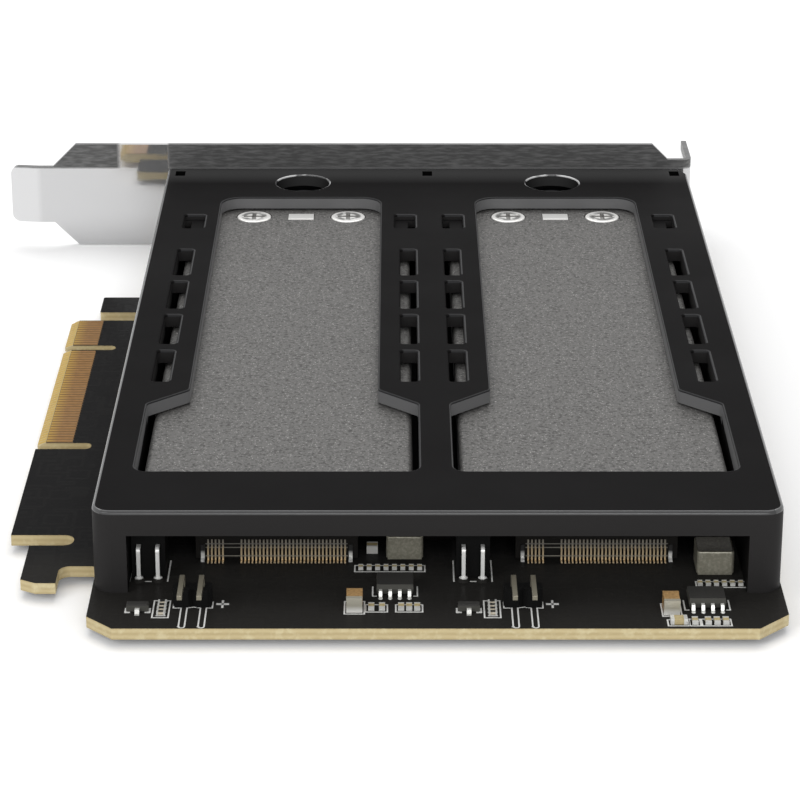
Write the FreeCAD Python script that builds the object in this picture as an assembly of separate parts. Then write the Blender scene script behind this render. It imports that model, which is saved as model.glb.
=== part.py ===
import FreeCAD, Part
import math
import os

from FreeCAD import Vector

# Expansion card that carries two solid-state drives in slide-out trays.
# Frame: X runs from the edge connector (X = 0) to the top edge of the card, Y runs along the card
# towards the slot bracket, Z is up from the component side of the board.
# The origin is the middle of the connector's key notch, at the edge, on the component side.

# ---- board -----------------------------------------------------------------------------------
board_thickness = 1.57
board_left = 12.75
board_side_margin = 0.15
board_front = -101.8
board_rear_gap = 0.8
left_corner_cut = 3.6
right_corner_cut = 4.2
rear_tab_left = 4.3
rear_tab_length = 7.3
relief_width = 3.8
relief_depth = 14.2

# ---- edge connector --------------------------------------------------------------------------
contact_pitch = 1.0
contact_width = 0.7
contact_thickness = 0.05
contact_end = 5.2
rear_contact_count = 11
front_contact_count = 38
contact_margin = 0.475
key_width = 1.9
key_depth = 8.25
lane_notch_width = 2.25
lane_notch_depth = 8.1
blank_tab_length = 30.75
bevel_length = 1.3
bevel_height = 0.5
tab_corner_cut = 0.8

# ---- retention hook --------------------------------------------------------------------------
hook_slot_width = 3.4
hook_slot_depth = 8.85
hook_left = 2.9
hook_width = 4.8
hook_length = 12.1
hook_gap_length = 5.35
hook_corner = (2.1, 1.2)

# ---- cage ------------------------------------------------------------------------------------
cage_left = 13.0
cage_front = -91.0
cage_top = 11.7
cage_wall = 2.0
rail_width = 4.6
channel_width = 38.65
cage_edge_radius = 0.5
cage_front_radius = 2.6
cage_rear_left_radius = 0.6
cage_rear_right_radius = 3.6
cage_bracket_gap = 0.2
front_lip_thickness = 2.0
front_lip_drop = 3.5
centre_rail_front = -74.0
ledge_width = 1.75
ledge_height = 0.6

window_rear_margin = 16.5
window_front = -77.4
window_shoulder = 5.8
window_shoulder_rear = -47.6
window_shoulder_front = -53.0
window_rear_radius = 3.4
window_front_radius = 1.8

vent_width = 2.5
vent_length = 12.4
vent_pitch = 15.4
vent_count = 4
vent_rear = 14.4
detent_width = 3.4
detent_length = 6.9
detent_setback = 9.4
detent_shelf = 0.9
detent_slot_width = 1.2
detent_slot_inset = 0.8
finger_hole_diameter = 9.2
finger_hole_inset = 8.3
rear_pocket_width = 1.7
rear_pocket_length = 2.6
rear_pocket_inset = 1.7
rear_pocket_depth = 1.2
window_rim_radius = 0.25
vent_rim_radius = 0.4

# ---- slot bracket ----------------------------------------------------------------------------
bracket_sheet = 0.9
bracket_inner = 58.4
bracket_bottom = -2.43
bracket_width = 18.42
bracket_length = 120.02
bracket_overhang = 1.02
tongue_width = 10.19
tongue_length = 7.5
tongue_bend_length = 4.9
tongue_bend_radius = 6.0
tongue_set_back = 0.6
bracket_chamfer = 2.75
ledge_length = 4.2
bracket_bend_radius = 0.5
screw_tab_length = 10.5
screw_notch_width = 4.4
screw_notch_centre = 6.3
screw_notch_depth = 4.6
bracket_window_clearance = 0.4

# ---- screws ----------------------------------------------------------------------------------
thread_diameter = 2.5
thread_clearance = 0.15
pilot_clearance = 0.05
low_head_diameter = 4.3
low_head_height = 1.0
sunk_head_diameter = 4.3
sunk_head_clearance = 0.12
cage_screw_length = 6.5
cage_screw_rear_inset = 13.2
cage_screw_middle = -20.0
cage_screw_front_inset = 4.2
bracket_screw_length = 5.0
bracket_screw_z = 5.9
lid_head_diameter = 5.8
lid_head_height = 1.0
lid_head_stand = 0.1
head_clearance = 0.15
lid_screw_spacing = 16.0
lid_screw_inset = 6.1
screw_end_gap = 0.3
drive_screw_diameter = 1.8
drive_screw_head_diameter = 4.0
drive_screw_head_height = 0.8
cross_share = 0.62
cross_width = 0.7

# ---- tray ------------------------------------------------------------------------------------
tray_clearance = 0.3
tray_front = -71.5
tray_wall = 0.9
tray_floor = 1.0
tray_side_gap = 0.85
lid_post_diameter = 5.2
floor_vent_width = 7.0
floor_vent_rear = -8.0
lid_thickness = 2.4
lid_side_gap = 0.95
lid_top_gap = 0.3
lid_front = -76.2
lid_overlap = 2.5
lid_edge_radius = 0.8
drive_length = 80.0
drive_width = 22.0
drive_side_clearance = 0.4
drive_rail = 1.1
drive_seat = 3.2
standoff_diameter = 4.4
pad_thickness = 0.5
grip_block_height = 7.2
grip_boss_diameter = 5.2
grip_boss_shift = 1.2
clip_width = 4.3
clip_length = 3.0
clip_stand = 0.1
clip_sheet = 0.6
clip_clearance = 0.1
light_pipe_diameter = 1.8
light_pipe_shift = 0.35
light_pipe_gap = 1.2
light_pipe_stand = 0.4
pipe_saddle_length = 3.0
pipe_saddles = (-62.0, -12.0)

# ---- bezel and lever -------------------------------------------------------------------------
bezel_thickness = 3.0
bezel_side_gap = 0.325
bezel_bottom = -0.6
bezel_top = 11.2
bezel_gap = 0.3
bezel_screw_offset = 6.8
bezel_screw_recess = 1.2
bezel_screw_reach = 5.5
small_thread_diameter = 2.0
small_head_diameter = 3.8
small_head_height = 0.9
lever_thickness = 2.4
lever_height = 7.4
lever_tip_offset = -11.2
hinge_inset = 2.7
hinge_stand = 2.6
hinge_pin_diameter = 1.5
hinge_running_clearance = 0.05
hinge_barrel_diameter = 3.6
hinge_ear_height = 1.6
lever_end_gap = 0.3
lever_gap = 0.3
hook_inset = 0.6
hook_thickness = 1.0
hook_depth = 0.9
hook_height = 2.6
hook_clearance = 0.5

# ---- board components ------------------------------------------------------------------------
socket_width = 21.9
socket_length = 7.7
socket_height = 4.1
socket_depth = 5.2
socket_rear_face = -72.6
socket_contact_pitch = 0.5
socket_contact_width = 0.22
socket_contact_sheet = 0.2
socket_contact_top = 2.9
socket_contact_neck = 1.9
socket_contact_knee = 1.5
socket_contact_stand = 0.53
socket_contact_foot = 1.5
socket_gap = 0.02
keyed_contact_count = 5
missing_contact_count = 4
main_contact_count = 29
socket_tab_spacing = 20.0
socket_tab_width = 0.5
socket_tab_top = 2.2
socket_tab_sheet = 0.3
socket_tab_foot = 1.1
led_inset = 2.475
led_lead_spacing = 2.54
led_lead_y = -87.3
led_lead_size = 0.5
solder_radius = 0.85
solder_height = 0.7
led_axis_height = 4.6
led_setback = 0.9
led_seat = 1.15
led_length = 4.9
led_housing_width = 4.5
led_housing_length = 5.2
led_housing_height = 6.6
led_diameter = 3.0
led_bore_clearance = 0.08
header_inset = 8.825
header_pitch = 2.54
header_setback = 7.5
header_pin_size = 0.64
header_pin_height = 4.0
header_pin_setback = 0.65
pin_stub = 0.8
inductor_size = 5.0
inductor_height = 3.5
chip_height = 0.55
driver_chip_width = 4.9
driver_chip_length = 3.9
driver_chip_top = 1.5
driver_lead_count = 4
driver_lead_pitch = 1.27
lead_gap = 0.02
left_chip_gap = 5.05
right_chip_inset = 5.725
driver_chip_setback = {"left": 12.0, "right": 7.8}
coil_offset = {"left": (1.3, 11.6), "right": (2.0, 10.9)}
bulk_size = (2.1, 3.1, 2.1)
left_bulk_offset = (-5.3, -5.8)
right_bulk_offset = (-4.8, -2.4)
small_chip = (0.8, 1.5, chip_height)
wide_chip = (2.2, 1.4, 0.8)
coil_chip = (1.5, 1.6, 1.1)
coil_row_chip = (0.65, 1.1, 0.45)
front_row_setback = -6.0
coil_row_offset = {"left": (-4.6, 6.3), "right": (-0.3, 5.5)}
coil_chip_offset = (-3.1, 11.9)
transistor_width = 2.9
transistor_length = 1.3
transistor_top = 1.0
transistor_lead_spacing = 1.9
transistor_inset = 1.725
transistor_setback = 5.6
resistor_size = (1.15, 0.65, 0.45)
resistor_inset = 4.825
resistor_setback = 7.5
resistor_pitch = 1.05
resistor_count = 4

# ---- places worked out from the sizes --------------------------------------------------------
board_bottom = -board_thickness
tab_rear = key_width / 2 + 2 * contact_margin + (rear_contact_count - 1) * contact_pitch + contact_width
lane_end = -(key_width / 2 + 2 * contact_margin + (front_contact_count - 1) * contact_pitch + contact_width)
blank_end = lane_end - lane_notch_width - blank_tab_length
rear_tab_front = tab_rear + relief_width
rear_tab_rear = rear_tab_front + rear_tab_length
hook_front = blank_end - hook_slot_width
hook_end = hook_front - hook_length
hook_right = hook_left + hook_width
hook_gap_top = hook_end + hook_gap_length

channel_pitch = channel_width + rail_width
channel_half = channel_width / 2
left_channel = cage_left + rail_width + channel_half
right_channel = left_channel + channel_pitch
card_middle = left_channel + channel_pitch / 2
cage_right = right_channel + channel_half + rail_width
cage_rear = bracket_inner - cage_bracket_gap
cage_ceiling = cage_top - cage_wall
rail_lines = (cage_left + rail_width / 2, card_middle, cage_right - rail_width / 2)
board_right = cage_right + board_side_margin
board_rear = bracket_inner - board_rear_gap
window_rear = cage_rear - window_rear_margin
detent_rear = window_rear - detent_setback
finger_hole_y = cage_rear - finger_hole_inset
header_y = board_front + header_setback

bracket_outer = bracket_inner + bracket_sheet
bracket_top = bracket_bottom + bracket_width
bracket_right = cage_right + bracket_overhang
bracket_left = bracket_right - bracket_length
bracket_middle = bracket_bottom + bracket_width / 2

tray_width = channel_width - 2 * tray_side_gap
tray_bottom = ledge_height + tray_clearance
lid_rear = window_rear + lid_overlap
lid_screw_y = lid_rear - lid_screw_inset
lid_top = cage_ceiling - lid_top_gap
lid_bottom = lid_top - lid_thickness
lid_head_seat = lid_top + lid_head_stand - lid_head_height
lid_width = channel_width - 2 * lid_side_gap
tray_floor_top = tray_bottom + tray_floor
bezel_inner = bracket_outer + bezel_gap
bezel_outer = bezel_inner + bezel_thickness
bezel_width = channel_width - 2 * bezel_side_gap
hinge_offset = bezel_width / 2 - hinge_inset
drive_bay_half = drive_width / 2 + drive_side_clearance
drive_end = socket_rear_face - socket_depth + drive_length
led_offset = led_inset - channel_half
header_offset = header_inset - channel_half
led_front = led_lead_y + led_setback
led_end = led_front + led_seat + led_length
light_pipe_offset = led_offset + light_pipe_shift
lever_middle = (bezel_bottom + bezel_top) / 2
hinge_y = bezel_outer + hinge_stand
thread_radius = thread_diameter / 2

channels = {"left": left_channel, "right": right_channel}


# ---- drawing helpers -------------------------------------------------------------------------
def box(x0, x1, y0, y1, z0, z1):
    """A block between two corners."""
    return Part.makeBox(x1 - x0, y1 - y0, z1 - z0, Vector(x0, y0, z0))


def rod(radius, start, end):
    """A round bar from one point to another."""
    axis = Vector(*end) - Vector(*start)
    return Part.makeCylinder(radius, axis.Length, Vector(*start), axis)


def outline(corners):
    """A closed wire through (u, v) or (u, v, radius) corners, each rounded by its radius."""
    points = [Vector(c[0], c[1], 0) for c in corners]
    radii = [c[2] if len(c) > 2 else 0 for c in corners]
    edges = []
    ends = []
    for i, corner in enumerate(points):
        before = (points[i - 1] - corner).normalize()
        after = (points[(i + 1) % len(points)] - corner).normalize()
        if radii[i] == 0:
            ends.append((corner, corner))
            continue
        half = before.getAngle(after) / 2
        reach = radii[i] / math.tan(half)
        bisector = (before + after).normalize()
        middle = corner + bisector * (radii[i] / math.sin(half) - radii[i])
        start = corner + before * reach
        end = corner + after * reach
        edges.append(Part.Arc(start, middle, end).toShape())
        ends.append((start, end))
    for i, (_, leave) in enumerate(ends):
        arrive = ends[(i + 1) % len(ends)][0]
        if (arrive - leave).Length > 1e-6:
            edges.append(Part.LineSegment(leave, arrive).toShape())
    return Part.Wire(Part.__sortEdges__(edges))


def plan_shape(corners, z0, z1):
    """An outline drawn in X and Y, raised from z0 to z1."""
    shape = Part.Face(outline(corners)).extrude(Vector(0, 0, z1 - z0))
    return shape.translated(Vector(0, 0, z0))


def front_shape(corners, y0, y1):
    """An outline drawn in X and Z, drawn out from y0 to y1."""
    shape = Part.Face(outline(corners)).extrude(Vector(0, 0, -(y1 - y0)))
    shape.rotate(Vector(0, 0, 0), Vector(1, 0, 0), 90)
    return shape.translated(Vector(0, y0, 0))


def side_shape(corners, x0, x1):
    """An outline drawn in Y and Z, drawn out from x0 to x1."""
    shape = Part.Face(outline(corners)).extrude(Vector(0, 0, x1 - x0))
    shape.rotate(Vector(0, 0, 0), Vector(1, 1, 1), 120)
    return shape.translated(Vector(x0, 0, 0))


def rectangle(x0, x1, y0, y1, radius=0):
    return [(x0, y0, radius), (x1, y0, radius), (x1, y1, radius), (x0, y1, radius)]


def edges_at(shape, keep):
    """The edges whose vertices all pass a test, as for a fillet."""
    return [e for e in shape.Edges if all(keep(v.Point) for v in e.Vertexes)]


def group(shapes):
    return Part.makeCompound(shapes)


def cross_recess(head_diameter, depth, top):
    """The cross a screwdriver fits, as the shape to cut from a head whose top is at z = top."""
    half = head_diameter * cross_share / 2
    bar = box(-half, half, -cross_width / 2, cross_width / 2, top - depth, top + 1)
    return bar.fuse(bar.rotated(Vector(0, 0, 0), Vector(0, 0, 1), 90))


def screw(diameter, length, head_diameter, head_height, crown_share=0.45):
    """A pan-head screw along Z with its head's seat at the origin and its thread below."""
    head = Part.makeCylinder(head_diameter / 2, head_height)
    head = head.makeFillet(head_height * crown_share, [e for e in head.Edges
                                                       if e.Vertexes[0].Z > head_height / 2
                                                       and e.BoundBox.ZLength < 1e-6])
    body = head.fuse(rod(diameter / 2, (0, 0, -length), (0, 0, 0)))
    return body.cut(cross_recess(head_diameter, head_height * 0.6, head_height)).removeSplitter()


def sunk_head(wider):
    """The cone of a countersunk head in the bracket sheet, with its top at z = 0."""
    return Part.makeCone(thread_radius + wider, sunk_head_diameter / 2 + wider, bracket_sheet,
                         Vector(0, 0, -bracket_sheet), Vector(0, 0, 1))


# ---- card ------------------------------------------------------------------------------------
def cage_screw_places():
    """Each screw that holds the cage to the board, as (x, y)."""
    front_post = cage_front + cage_screw_front_inset
    places = []
    for x in rail_lines:
        front = centre_rail_front + cage_screw_front_inset if x == card_middle else front_post
        places += [(x, front), (x, cage_screw_middle), (x, cage_rear - cage_screw_rear_inset)]
    return places


def led_lead_places(centre):
    middle = centre + led_offset
    return [(middle - led_lead_spacing / 2, led_lead_y), (middle + led_lead_spacing / 2, led_lead_y)]


def header_pin_places(centre):
    middle = centre + header_offset
    return [(middle - header_pitch / 2, header_y), (middle + header_pitch / 2, header_y)]


def make_board():
    left_cut = left_corner_cut
    right_cut = right_corner_cut
    nick = tab_corner_cut
    slot_round = key_width / 2 - 0.01
    corners = [
        (board_left + left_cut, board_front), (board_right - right_cut, board_front),
        (board_right, board_front + right_cut), (board_right, board_rear),
        (board_left, board_rear), (board_left, rear_tab_rear),
        (rear_tab_left, rear_tab_rear, 0.4), (rear_tab_left, rear_tab_front, 0.4),
        (relief_depth, rear_tab_front, 1), (relief_depth, tab_rear, 1),
        (nick, tab_rear), (0, tab_rear - nick),
        (0, key_width / 2 + nick / 2), (nick / 2, key_width / 2),
        (key_depth, key_width / 2, slot_round), (key_depth, -key_width / 2, slot_round),
        (nick / 2, -key_width / 2), (0, -key_width / 2 - nick / 2),
        (0, lane_end + nick / 2), (nick / 2, lane_end),
        (lane_notch_depth, lane_end, 0.9), (lane_notch_depth, lane_end - lane_notch_width, 0.9),
        (0, lane_end - lane_notch_width), (0, blank_end),
        (hook_slot_depth, blank_end, 1.5), (hook_slot_depth, hook_front, 1.5),
        (hook_left, hook_front), (hook_left, hook_end + hook_corner[1]),
        (hook_left + hook_corner[0], hook_end), (hook_right, hook_end),
        (hook_right, hook_gap_top, 1.6), (board_left, hook_gap_top, 0.8),
        (board_left, board_front + left_cut),
    ]
    board = plan_shape(corners, board_bottom, 0)
    for edge, inside in ((0, -bevel_height), (board_bottom, board_bottom + bevel_height)):
        wedge = front_shape([(-1, edge), (bevel_length, edge), (0, inside), (-1, inside)],
                            lane_end - lane_notch_width / 2, tab_rear + 1)
        board = board.cut(wedge)
    holes = []
    for x, y in cage_screw_places():
        holes.append(rod(thread_radius + thread_clearance, (x, y, board_bottom - 1), (x, y, 1)))
    for centre in channels.values():
        for x, y in led_lead_places(centre):
            holes.append(rod(led_lead_size * 0.8, (x, y, board_bottom - 1), (x, y, 1)))
        for x, y in header_pin_places(centre):
            holes.append(rod(header_pin_size * 0.8, (x, y, board_bottom - 1), (x, y, 1)))
    return board.cut(group(holes))


def make_edge_contacts():
    pads = []
    for start, count in ((key_width / 2, rear_contact_count),
                         (-key_width / 2 - 2 * contact_margin - contact_width
                          - (front_contact_count - 1) * contact_pitch, front_contact_count)):
        for i in range(count):
            y = start + contact_margin + i * contact_pitch
            for z in (0, board_bottom - contact_thickness):
                pads.append(box(bevel_length + 0.05, contact_end, y, y + contact_width,
                                z, z + contact_thickness))
    return group(pads)


def window_outline(centre):
    """The tapered view window over one drive, as corners in X and Y."""
    wide = channel_half
    narrow = wide - window_shoulder
    right_half = [
        (wide, window_front, window_front_radius), (wide, window_shoulder_front, 1.2),
        (narrow, window_shoulder_rear, 1.2), (narrow, window_rear, window_rear_radius),
    ]
    left_half = [(-c[0], c[1], c[2]) for c in reversed(right_half)]
    return [(centre + c[0], c[1], c[2]) for c in right_half + left_half]


def beside_window(point):
    """Whether a point lies in the strips that hold the vents and detents."""
    across = min(abs(point.x - centre) for centre in channels.values())
    strip_inner = channel_half - max(vent_width, detent_width) - vent_rim_radius
    return across > strip_inner - 0.5 and window_shoulder_rear < point.y < window_rear


def make_cage():
    shell = plan_shape([
        (cage_left, cage_front, cage_front_radius), (cage_right, cage_front, cage_front_radius),
        (cage_right, cage_rear, cage_rear_right_radius), (cage_left, cage_rear, cage_rear_left_radius),
    ], 0, cage_top)
    shell = shell.makeFillet(cage_edge_radius, edges_at(shell, lambda p: p.z > cage_top - 1e-4))
    cuts = []
    pocket_rear = cage_rear - rear_pocket_inset
    channel_front = cage_front + front_lip_thickness
    inner_left = left_channel - channel_half
    inner_right = right_channel + channel_half
    cuts.append(box(inner_left, inner_right, channel_front, centre_rail_front, -1, cage_ceiling))
    cuts.append(box(inner_left, inner_right, cage_front - 1, channel_front + 0.01, -1,
                    cage_top - front_lip_drop))
    for centre in channels.values():
        half = channel_half
        cuts.append(box(centre - half, centre + half, centre_rail_front - 0.01, cage_rear + 1,
                        ledge_height, cage_ceiling))
        cuts.append(box(centre - half + ledge_width, centre + half - ledge_width,
                        centre_rail_front - 0.01, cage_rear + 1, -1, cage_ceiling))
        cuts.append(plan_shape(window_outline(centre), cage_ceiling - 1, cage_top + 1))
        cuts.append(rod(finger_hole_diameter / 2, (centre, finger_hole_y, cage_ceiling - 1),
                        (centre, finger_hole_y, cage_top + 1)))
        for side in (-1, 1):
            outer = centre + side * half
            for i in range(vent_count):
                rear = vent_rear - i * vent_pitch
                x0, x1 = sorted((outer, outer - side * vent_width))
                cuts.append(plan_shape(rectangle(x0, x1, rear - vent_length, rear, 0.5),
                                       cage_ceiling - 1, cage_top + 1))
            x0, x1 = sorted((outer, outer - side * detent_width))
            cuts.append(plan_shape(rectangle(x0, x1, detent_rear - detent_length, detent_rear, 0.5),
                                   cage_top - detent_shelf, cage_top + 1))
            x0, x1 = sorted((outer, outer - side * detent_slot_width))
            cuts.append(box(x0, x1, detent_rear - detent_length + detent_slot_inset,
                            detent_rear - detent_slot_inset, cage_ceiling - 1, cage_top))
    for x in rail_lines:
        cuts.append(box(x - rear_pocket_width / 2, x + rear_pocket_width / 2,
                        pocket_rear - rear_pocket_length, pocket_rear,
                        cage_top - rear_pocket_depth, cage_top + 1))
        cuts.append(rod(thread_radius + pilot_clearance, (x, cage_rear + 1, bracket_screw_z),
                        (x, cage_rear - bracket_screw_length, bracket_screw_z)))
    for x, y in cage_screw_places():
        cuts.append(rod(thread_radius + pilot_clearance, (x, y, -1), (x, y, cage_screw_length)))
    for shape in cuts:
        shell = shell.cut(shape)
    for radius, wanted in ((vent_rim_radius, True), (window_rim_radius, False)):
        rims = edges_at(shell, lambda p: p.z > cage_top - 1e-4
                        and cage_left + 1.5 < p.x < cage_right - 1.5
                        and cage_front + 5 < p.y < pocket_rear - rear_pocket_length - 0.3
                        and beside_window(p) == wanted)
        shell = shell.makeFillet(radius, rims)
    return shell


def make_cage_screws():
    model = screw(thread_diameter, cage_screw_length + board_thickness - 0.3,
                  low_head_diameter, low_head_height)
    model.rotate(Vector(0, 0, 0), Vector(1, 0, 0), 180)
    return group([model.translated(Vector(x, y, board_bottom)) for x, y in cage_screw_places()])


def make_bracket():
    bend = bracket_bend_radius
    tab_end = bracket_outer + screw_tab_length
    tab_inner = bracket_right - bracket_sheet
    tip_y = bracket_inner + tongue_set_back
    bend_x = bracket_left + tongue_bend_length
    sheet = plan_shape([
        (bracket_left, tip_y), (bend_x, bracket_inner, tongue_bend_radius),
        (bracket_right, bracket_inner, bend + bracket_sheet), (bracket_right, tab_end),
        (tab_inner, tab_end), (tab_inner, bracket_outer, bend),
        (bend_x, bracket_outer, tongue_bend_radius), (bracket_left, tip_y + bracket_sheet),
    ], bracket_bottom, bracket_top)
    tongue_low = bracket_middle - tongue_width / 2
    tongue_high = bracket_middle + tongue_width / 2
    shoulder = bracket_left + tongue_length
    taper = (bracket_width - tongue_width) / 2
    notch_left = bracket_right - ledge_length
    face = front_shape([
        (bracket_left, tongue_low, 1.5), (shoulder, tongue_low),
        (shoulder + taper, bracket_bottom), (bracket_right + 1, bracket_bottom),
        (bracket_right + 1, bracket_top - bracket_chamfer),
        (notch_left, bracket_top - bracket_chamfer), (notch_left - bracket_chamfer, bracket_top),
        (shoulder + taper, bracket_top), (shoulder, tongue_high), (bracket_left, tongue_high, 1.5),
    ], bracket_inner - 1, tab_end + 1)
    bracket = sheet.common(face)
    window_bottom = tray_bottom - bracket_window_clearance
    window_top = cage_ceiling
    window_half = tray_width / 2 + bracket_window_clearance
    for centre in channels.values():
        opening = front_shape(rectangle(centre - window_half, centre + window_half,
                                        window_bottom, window_top, 0.4),
                              bracket_inner - 1, bracket_outer + 1)
        bracket = bracket.cut(opening)
    hole = rod(thread_radius + thread_clearance, (0, 0, -bracket_sheet - 1), (0, 0, 1))
    hole = hole.fuse(sunk_head(sunk_head_clearance))
    hole.rotate(Vector(0, 0, 0), Vector(1, 0, 0), -90)
    bracket = bracket.cut(group([hole.translated(Vector(x, bracket_outer, bracket_screw_z))
                                 for x in rail_lines]))
    notch_y = bracket_outer + screw_notch_centre
    half = screw_notch_width / 2
    notch_z = bracket_bottom + screw_notch_depth - half
    notch = rod(half, (tab_inner - 1, notch_y, notch_z), (bracket_right + 1, notch_y, notch_z))
    notch = notch.fuse(box(tab_inner - 1, bracket_right + 1, notch_y - half, notch_y + half,
                           bracket_bottom - 1, notch_z))
    return bracket.cut(notch)


def make_bracket_screws():
    """Countersunk screws, level with the bracket's outer face."""
    model = sunk_head(0).fuse(rod(thread_radius, (0, 0, -bracket_screw_length), (0, 0, -bracket_sheet)))
    model = model.cut(cross_recess(sunk_head_diameter, bracket_sheet * 0.6, 0)).removeSplitter()
    model.rotate(Vector(0, 0, 0), Vector(1, 0, 0), -90)
    return group([model.translated(Vector(x, bracket_outer, bracket_screw_z)) for x in rail_lines])


# ---- tray ------------------------------------------------------------------------------------
def lid_screw_places(centre):
    return (centre - lid_screw_spacing / 2, centre + lid_screw_spacing / 2)


def make_tray(centre):
    half = tray_width / 2
    rear = bezel_inner
    wall_inner = half - tray_wall
    body = box(centre - half, centre + half, tray_front, rear, tray_bottom, lid_bottom)
    body = body.cut(box(centre - wall_inner, centre + wall_inner, tray_front - 1, lid_rear,
                        tray_floor_top, lid_bottom + 1))
    rails = []
    for side in (-1, 1):
        x0, x1 = sorted((centre + side * drive_bay_half,
                         centre + side * (drive_bay_half + drive_rail)))
        rails.append(box(x0, x1, tray_front, drive_end + standoff_diameter, tray_bottom, drive_seat))
    body = body.fuse(rails)
    for x in lid_screw_places(centre):
        body = body.fuse(rod(lid_post_diameter / 2, (x, lid_screw_y, tray_bottom),
                             (x, lid_screw_y, lid_bottom)))
        body = body.cut(rod(thread_radius + pilot_clearance, (x, lid_screw_y, tray_floor_top),
                            (x, lid_screw_y, lid_bottom + 1)))
    floor_vents = []
    vent_half = floor_vent_width / 2
    for i in range(vent_count):
        vent_end = floor_vent_rear - i * vent_pitch
        floor_vents.append(plan_shape(rectangle(centre - vent_half, centre + vent_half,
                                                vent_end - vent_length, vent_end, 1.2),
                                      tray_bottom - 1, tray_floor_top + 0.5))
    body = body.cut(group(floor_vents))
    body = body.cut(rod(small_thread_diameter / 2 + pilot_clearance,
                        (centre, drive_end, tray_bottom - 1), (centre, drive_end, tray_floor_top + 1)))
    boss_y = finger_hole_y + grip_boss_shift
    boss = rod(grip_boss_diameter / 2, (centre, boss_y, lid_bottom - 1), (centre, boss_y, lid_top))
    boss = boss.makeFillet(0.9, edges_at(boss, lambda p: p.z > lid_top - 1e-4))
    ridge = box(centre - half + 3, centre + half - 3, lid_rear + 1.5, rear - 1.4,
                lid_bottom - 1, grip_block_height + 1)
    ridge = ridge.makeFillet(0.6, edges_at(ridge, lambda p: p.z > grip_block_height + 0.9))
    body = body.fuse([boss, ridge])
    pipe_x = centre + light_pipe_offset
    for y in pipe_saddles:
        body = body.fuse(box(centre - half + 0.1, pipe_x + light_pipe_diameter,
                             y, y + pipe_saddle_length, tray_bottom + 0.1, led_axis_height))
    body = body.cut(rod(light_pipe_diameter / 2 + pilot_clearance,
                        (pipe_x, tray_front - 1, led_axis_height), (pipe_x, rear + 1, led_axis_height)))
    for x in bezel_screw_places(centre):
        body = body.cut(rod(small_thread_diameter / 2 + pilot_clearance,
                            (x, rear - bezel_screw_reach - screw_end_gap, lever_middle),
                            (x, rear + 1, lever_middle)))
    return body.removeSplitter()


def make_lid(centre):
    half = lid_width / 2
    lid = plan_shape(rectangle(centre - half, centre + half, lid_front, lid_rear, 1.5),
                     lid_bottom, lid_top)
    lid = lid.makeFillet(lid_edge_radius, edges_at(lid, lambda p: p.z > lid_top - 1e-4))
    for x in lid_screw_places(centre):
        lid = lid.cut(rod(thread_radius + thread_clearance, (x, lid_screw_y, lid_bottom - 1),
                          (x, lid_screw_y, lid_top + 1)))
        lid = lid.cut(rod(lid_head_diameter / 2 + head_clearance, (x, lid_screw_y, lid_head_seat),
                          (x, lid_screw_y, lid_top + 1)))
    half_width = clip_width / 2 + clip_clearance
    half_length = clip_length / 2 + clip_clearance
    slot = rectangle(centre - half_width, centre + half_width,
                     lid_screw_y - half_length, lid_screw_y + half_length)
    return lid.cut(plan_shape(slot, lid_bottom - 1, lid_top + 1))


def make_lid_screws(centre):
    model = screw(thread_diameter, lid_head_seat - tray_floor_top - screw_end_gap,
                  lid_head_diameter, lid_head_height, 0.25)
    return group([model.translated(Vector(x, lid_screw_y, lid_head_seat))
                  for x in lid_screw_places(centre)])


def make_lid_clip(centre):
    """The folded steel clip that shows in the slot between the lid screws."""
    half = clip_width / 2
    low = lid_screw_y - clip_length / 2
    high = lid_screw_y + clip_length / 2
    top = lid_top + clip_stand
    sheet = clip_sheet
    return side_shape([
        (low, tray_floor_top), (high + 2.5, tray_floor_top), (high + 2.5, tray_floor_top + sheet),
        (low + sheet, tray_floor_top + sheet), (low + sheet, top - sheet, 0.3),
        (high - sheet, top - sheet, 0.3), (high - sheet, lid_bottom - 1), (high, lid_bottom - 1),
        (high, top, 0.25), (low, top, 0.25),
    ], centre - half, centre + half)


def make_thermal_pad(centre):
    half = drive_width / 2 - 1
    return box(centre - half, centre + half, tray_front + 6, drive_end - 5,
               lid_bottom - pad_thickness, lid_bottom)


def make_drive_standoff(centre):
    post = rod(standoff_diameter / 2, (centre, drive_end, tray_floor_top),
               (centre, drive_end, drive_seat))
    tail = rod(small_thread_diameter / 2, (centre, drive_end, tray_bottom),
               (centre, drive_end, tray_floor_top))
    bore = rod(drive_screw_diameter / 2 + pilot_clearance, (centre, drive_end, tray_bottom - 1),
               (centre, drive_end, drive_seat + 1))
    return post.fuse(tail).cut(bore)


def make_drive_screw(centre):
    model = screw(drive_screw_diameter, drive_seat - tray_bottom - screw_end_gap,
                  drive_screw_head_diameter, drive_screw_head_height)
    return model.translated(Vector(centre, drive_end, drive_seat))


def make_light_pipe(centre):
    x = centre + light_pipe_offset
    pipe = rod(light_pipe_diameter / 2, (x, led_end + light_pipe_gap, led_axis_height),
               (x, bezel_outer + light_pipe_stand, led_axis_height))
    return pipe.makeFillet(light_pipe_stand * 0.8, edges_at(pipe, lambda p: p.y > bezel_outer))


def bezel_screw_places(centre):
    return (centre - bezel_screw_offset, centre + bezel_screw_offset)


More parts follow.
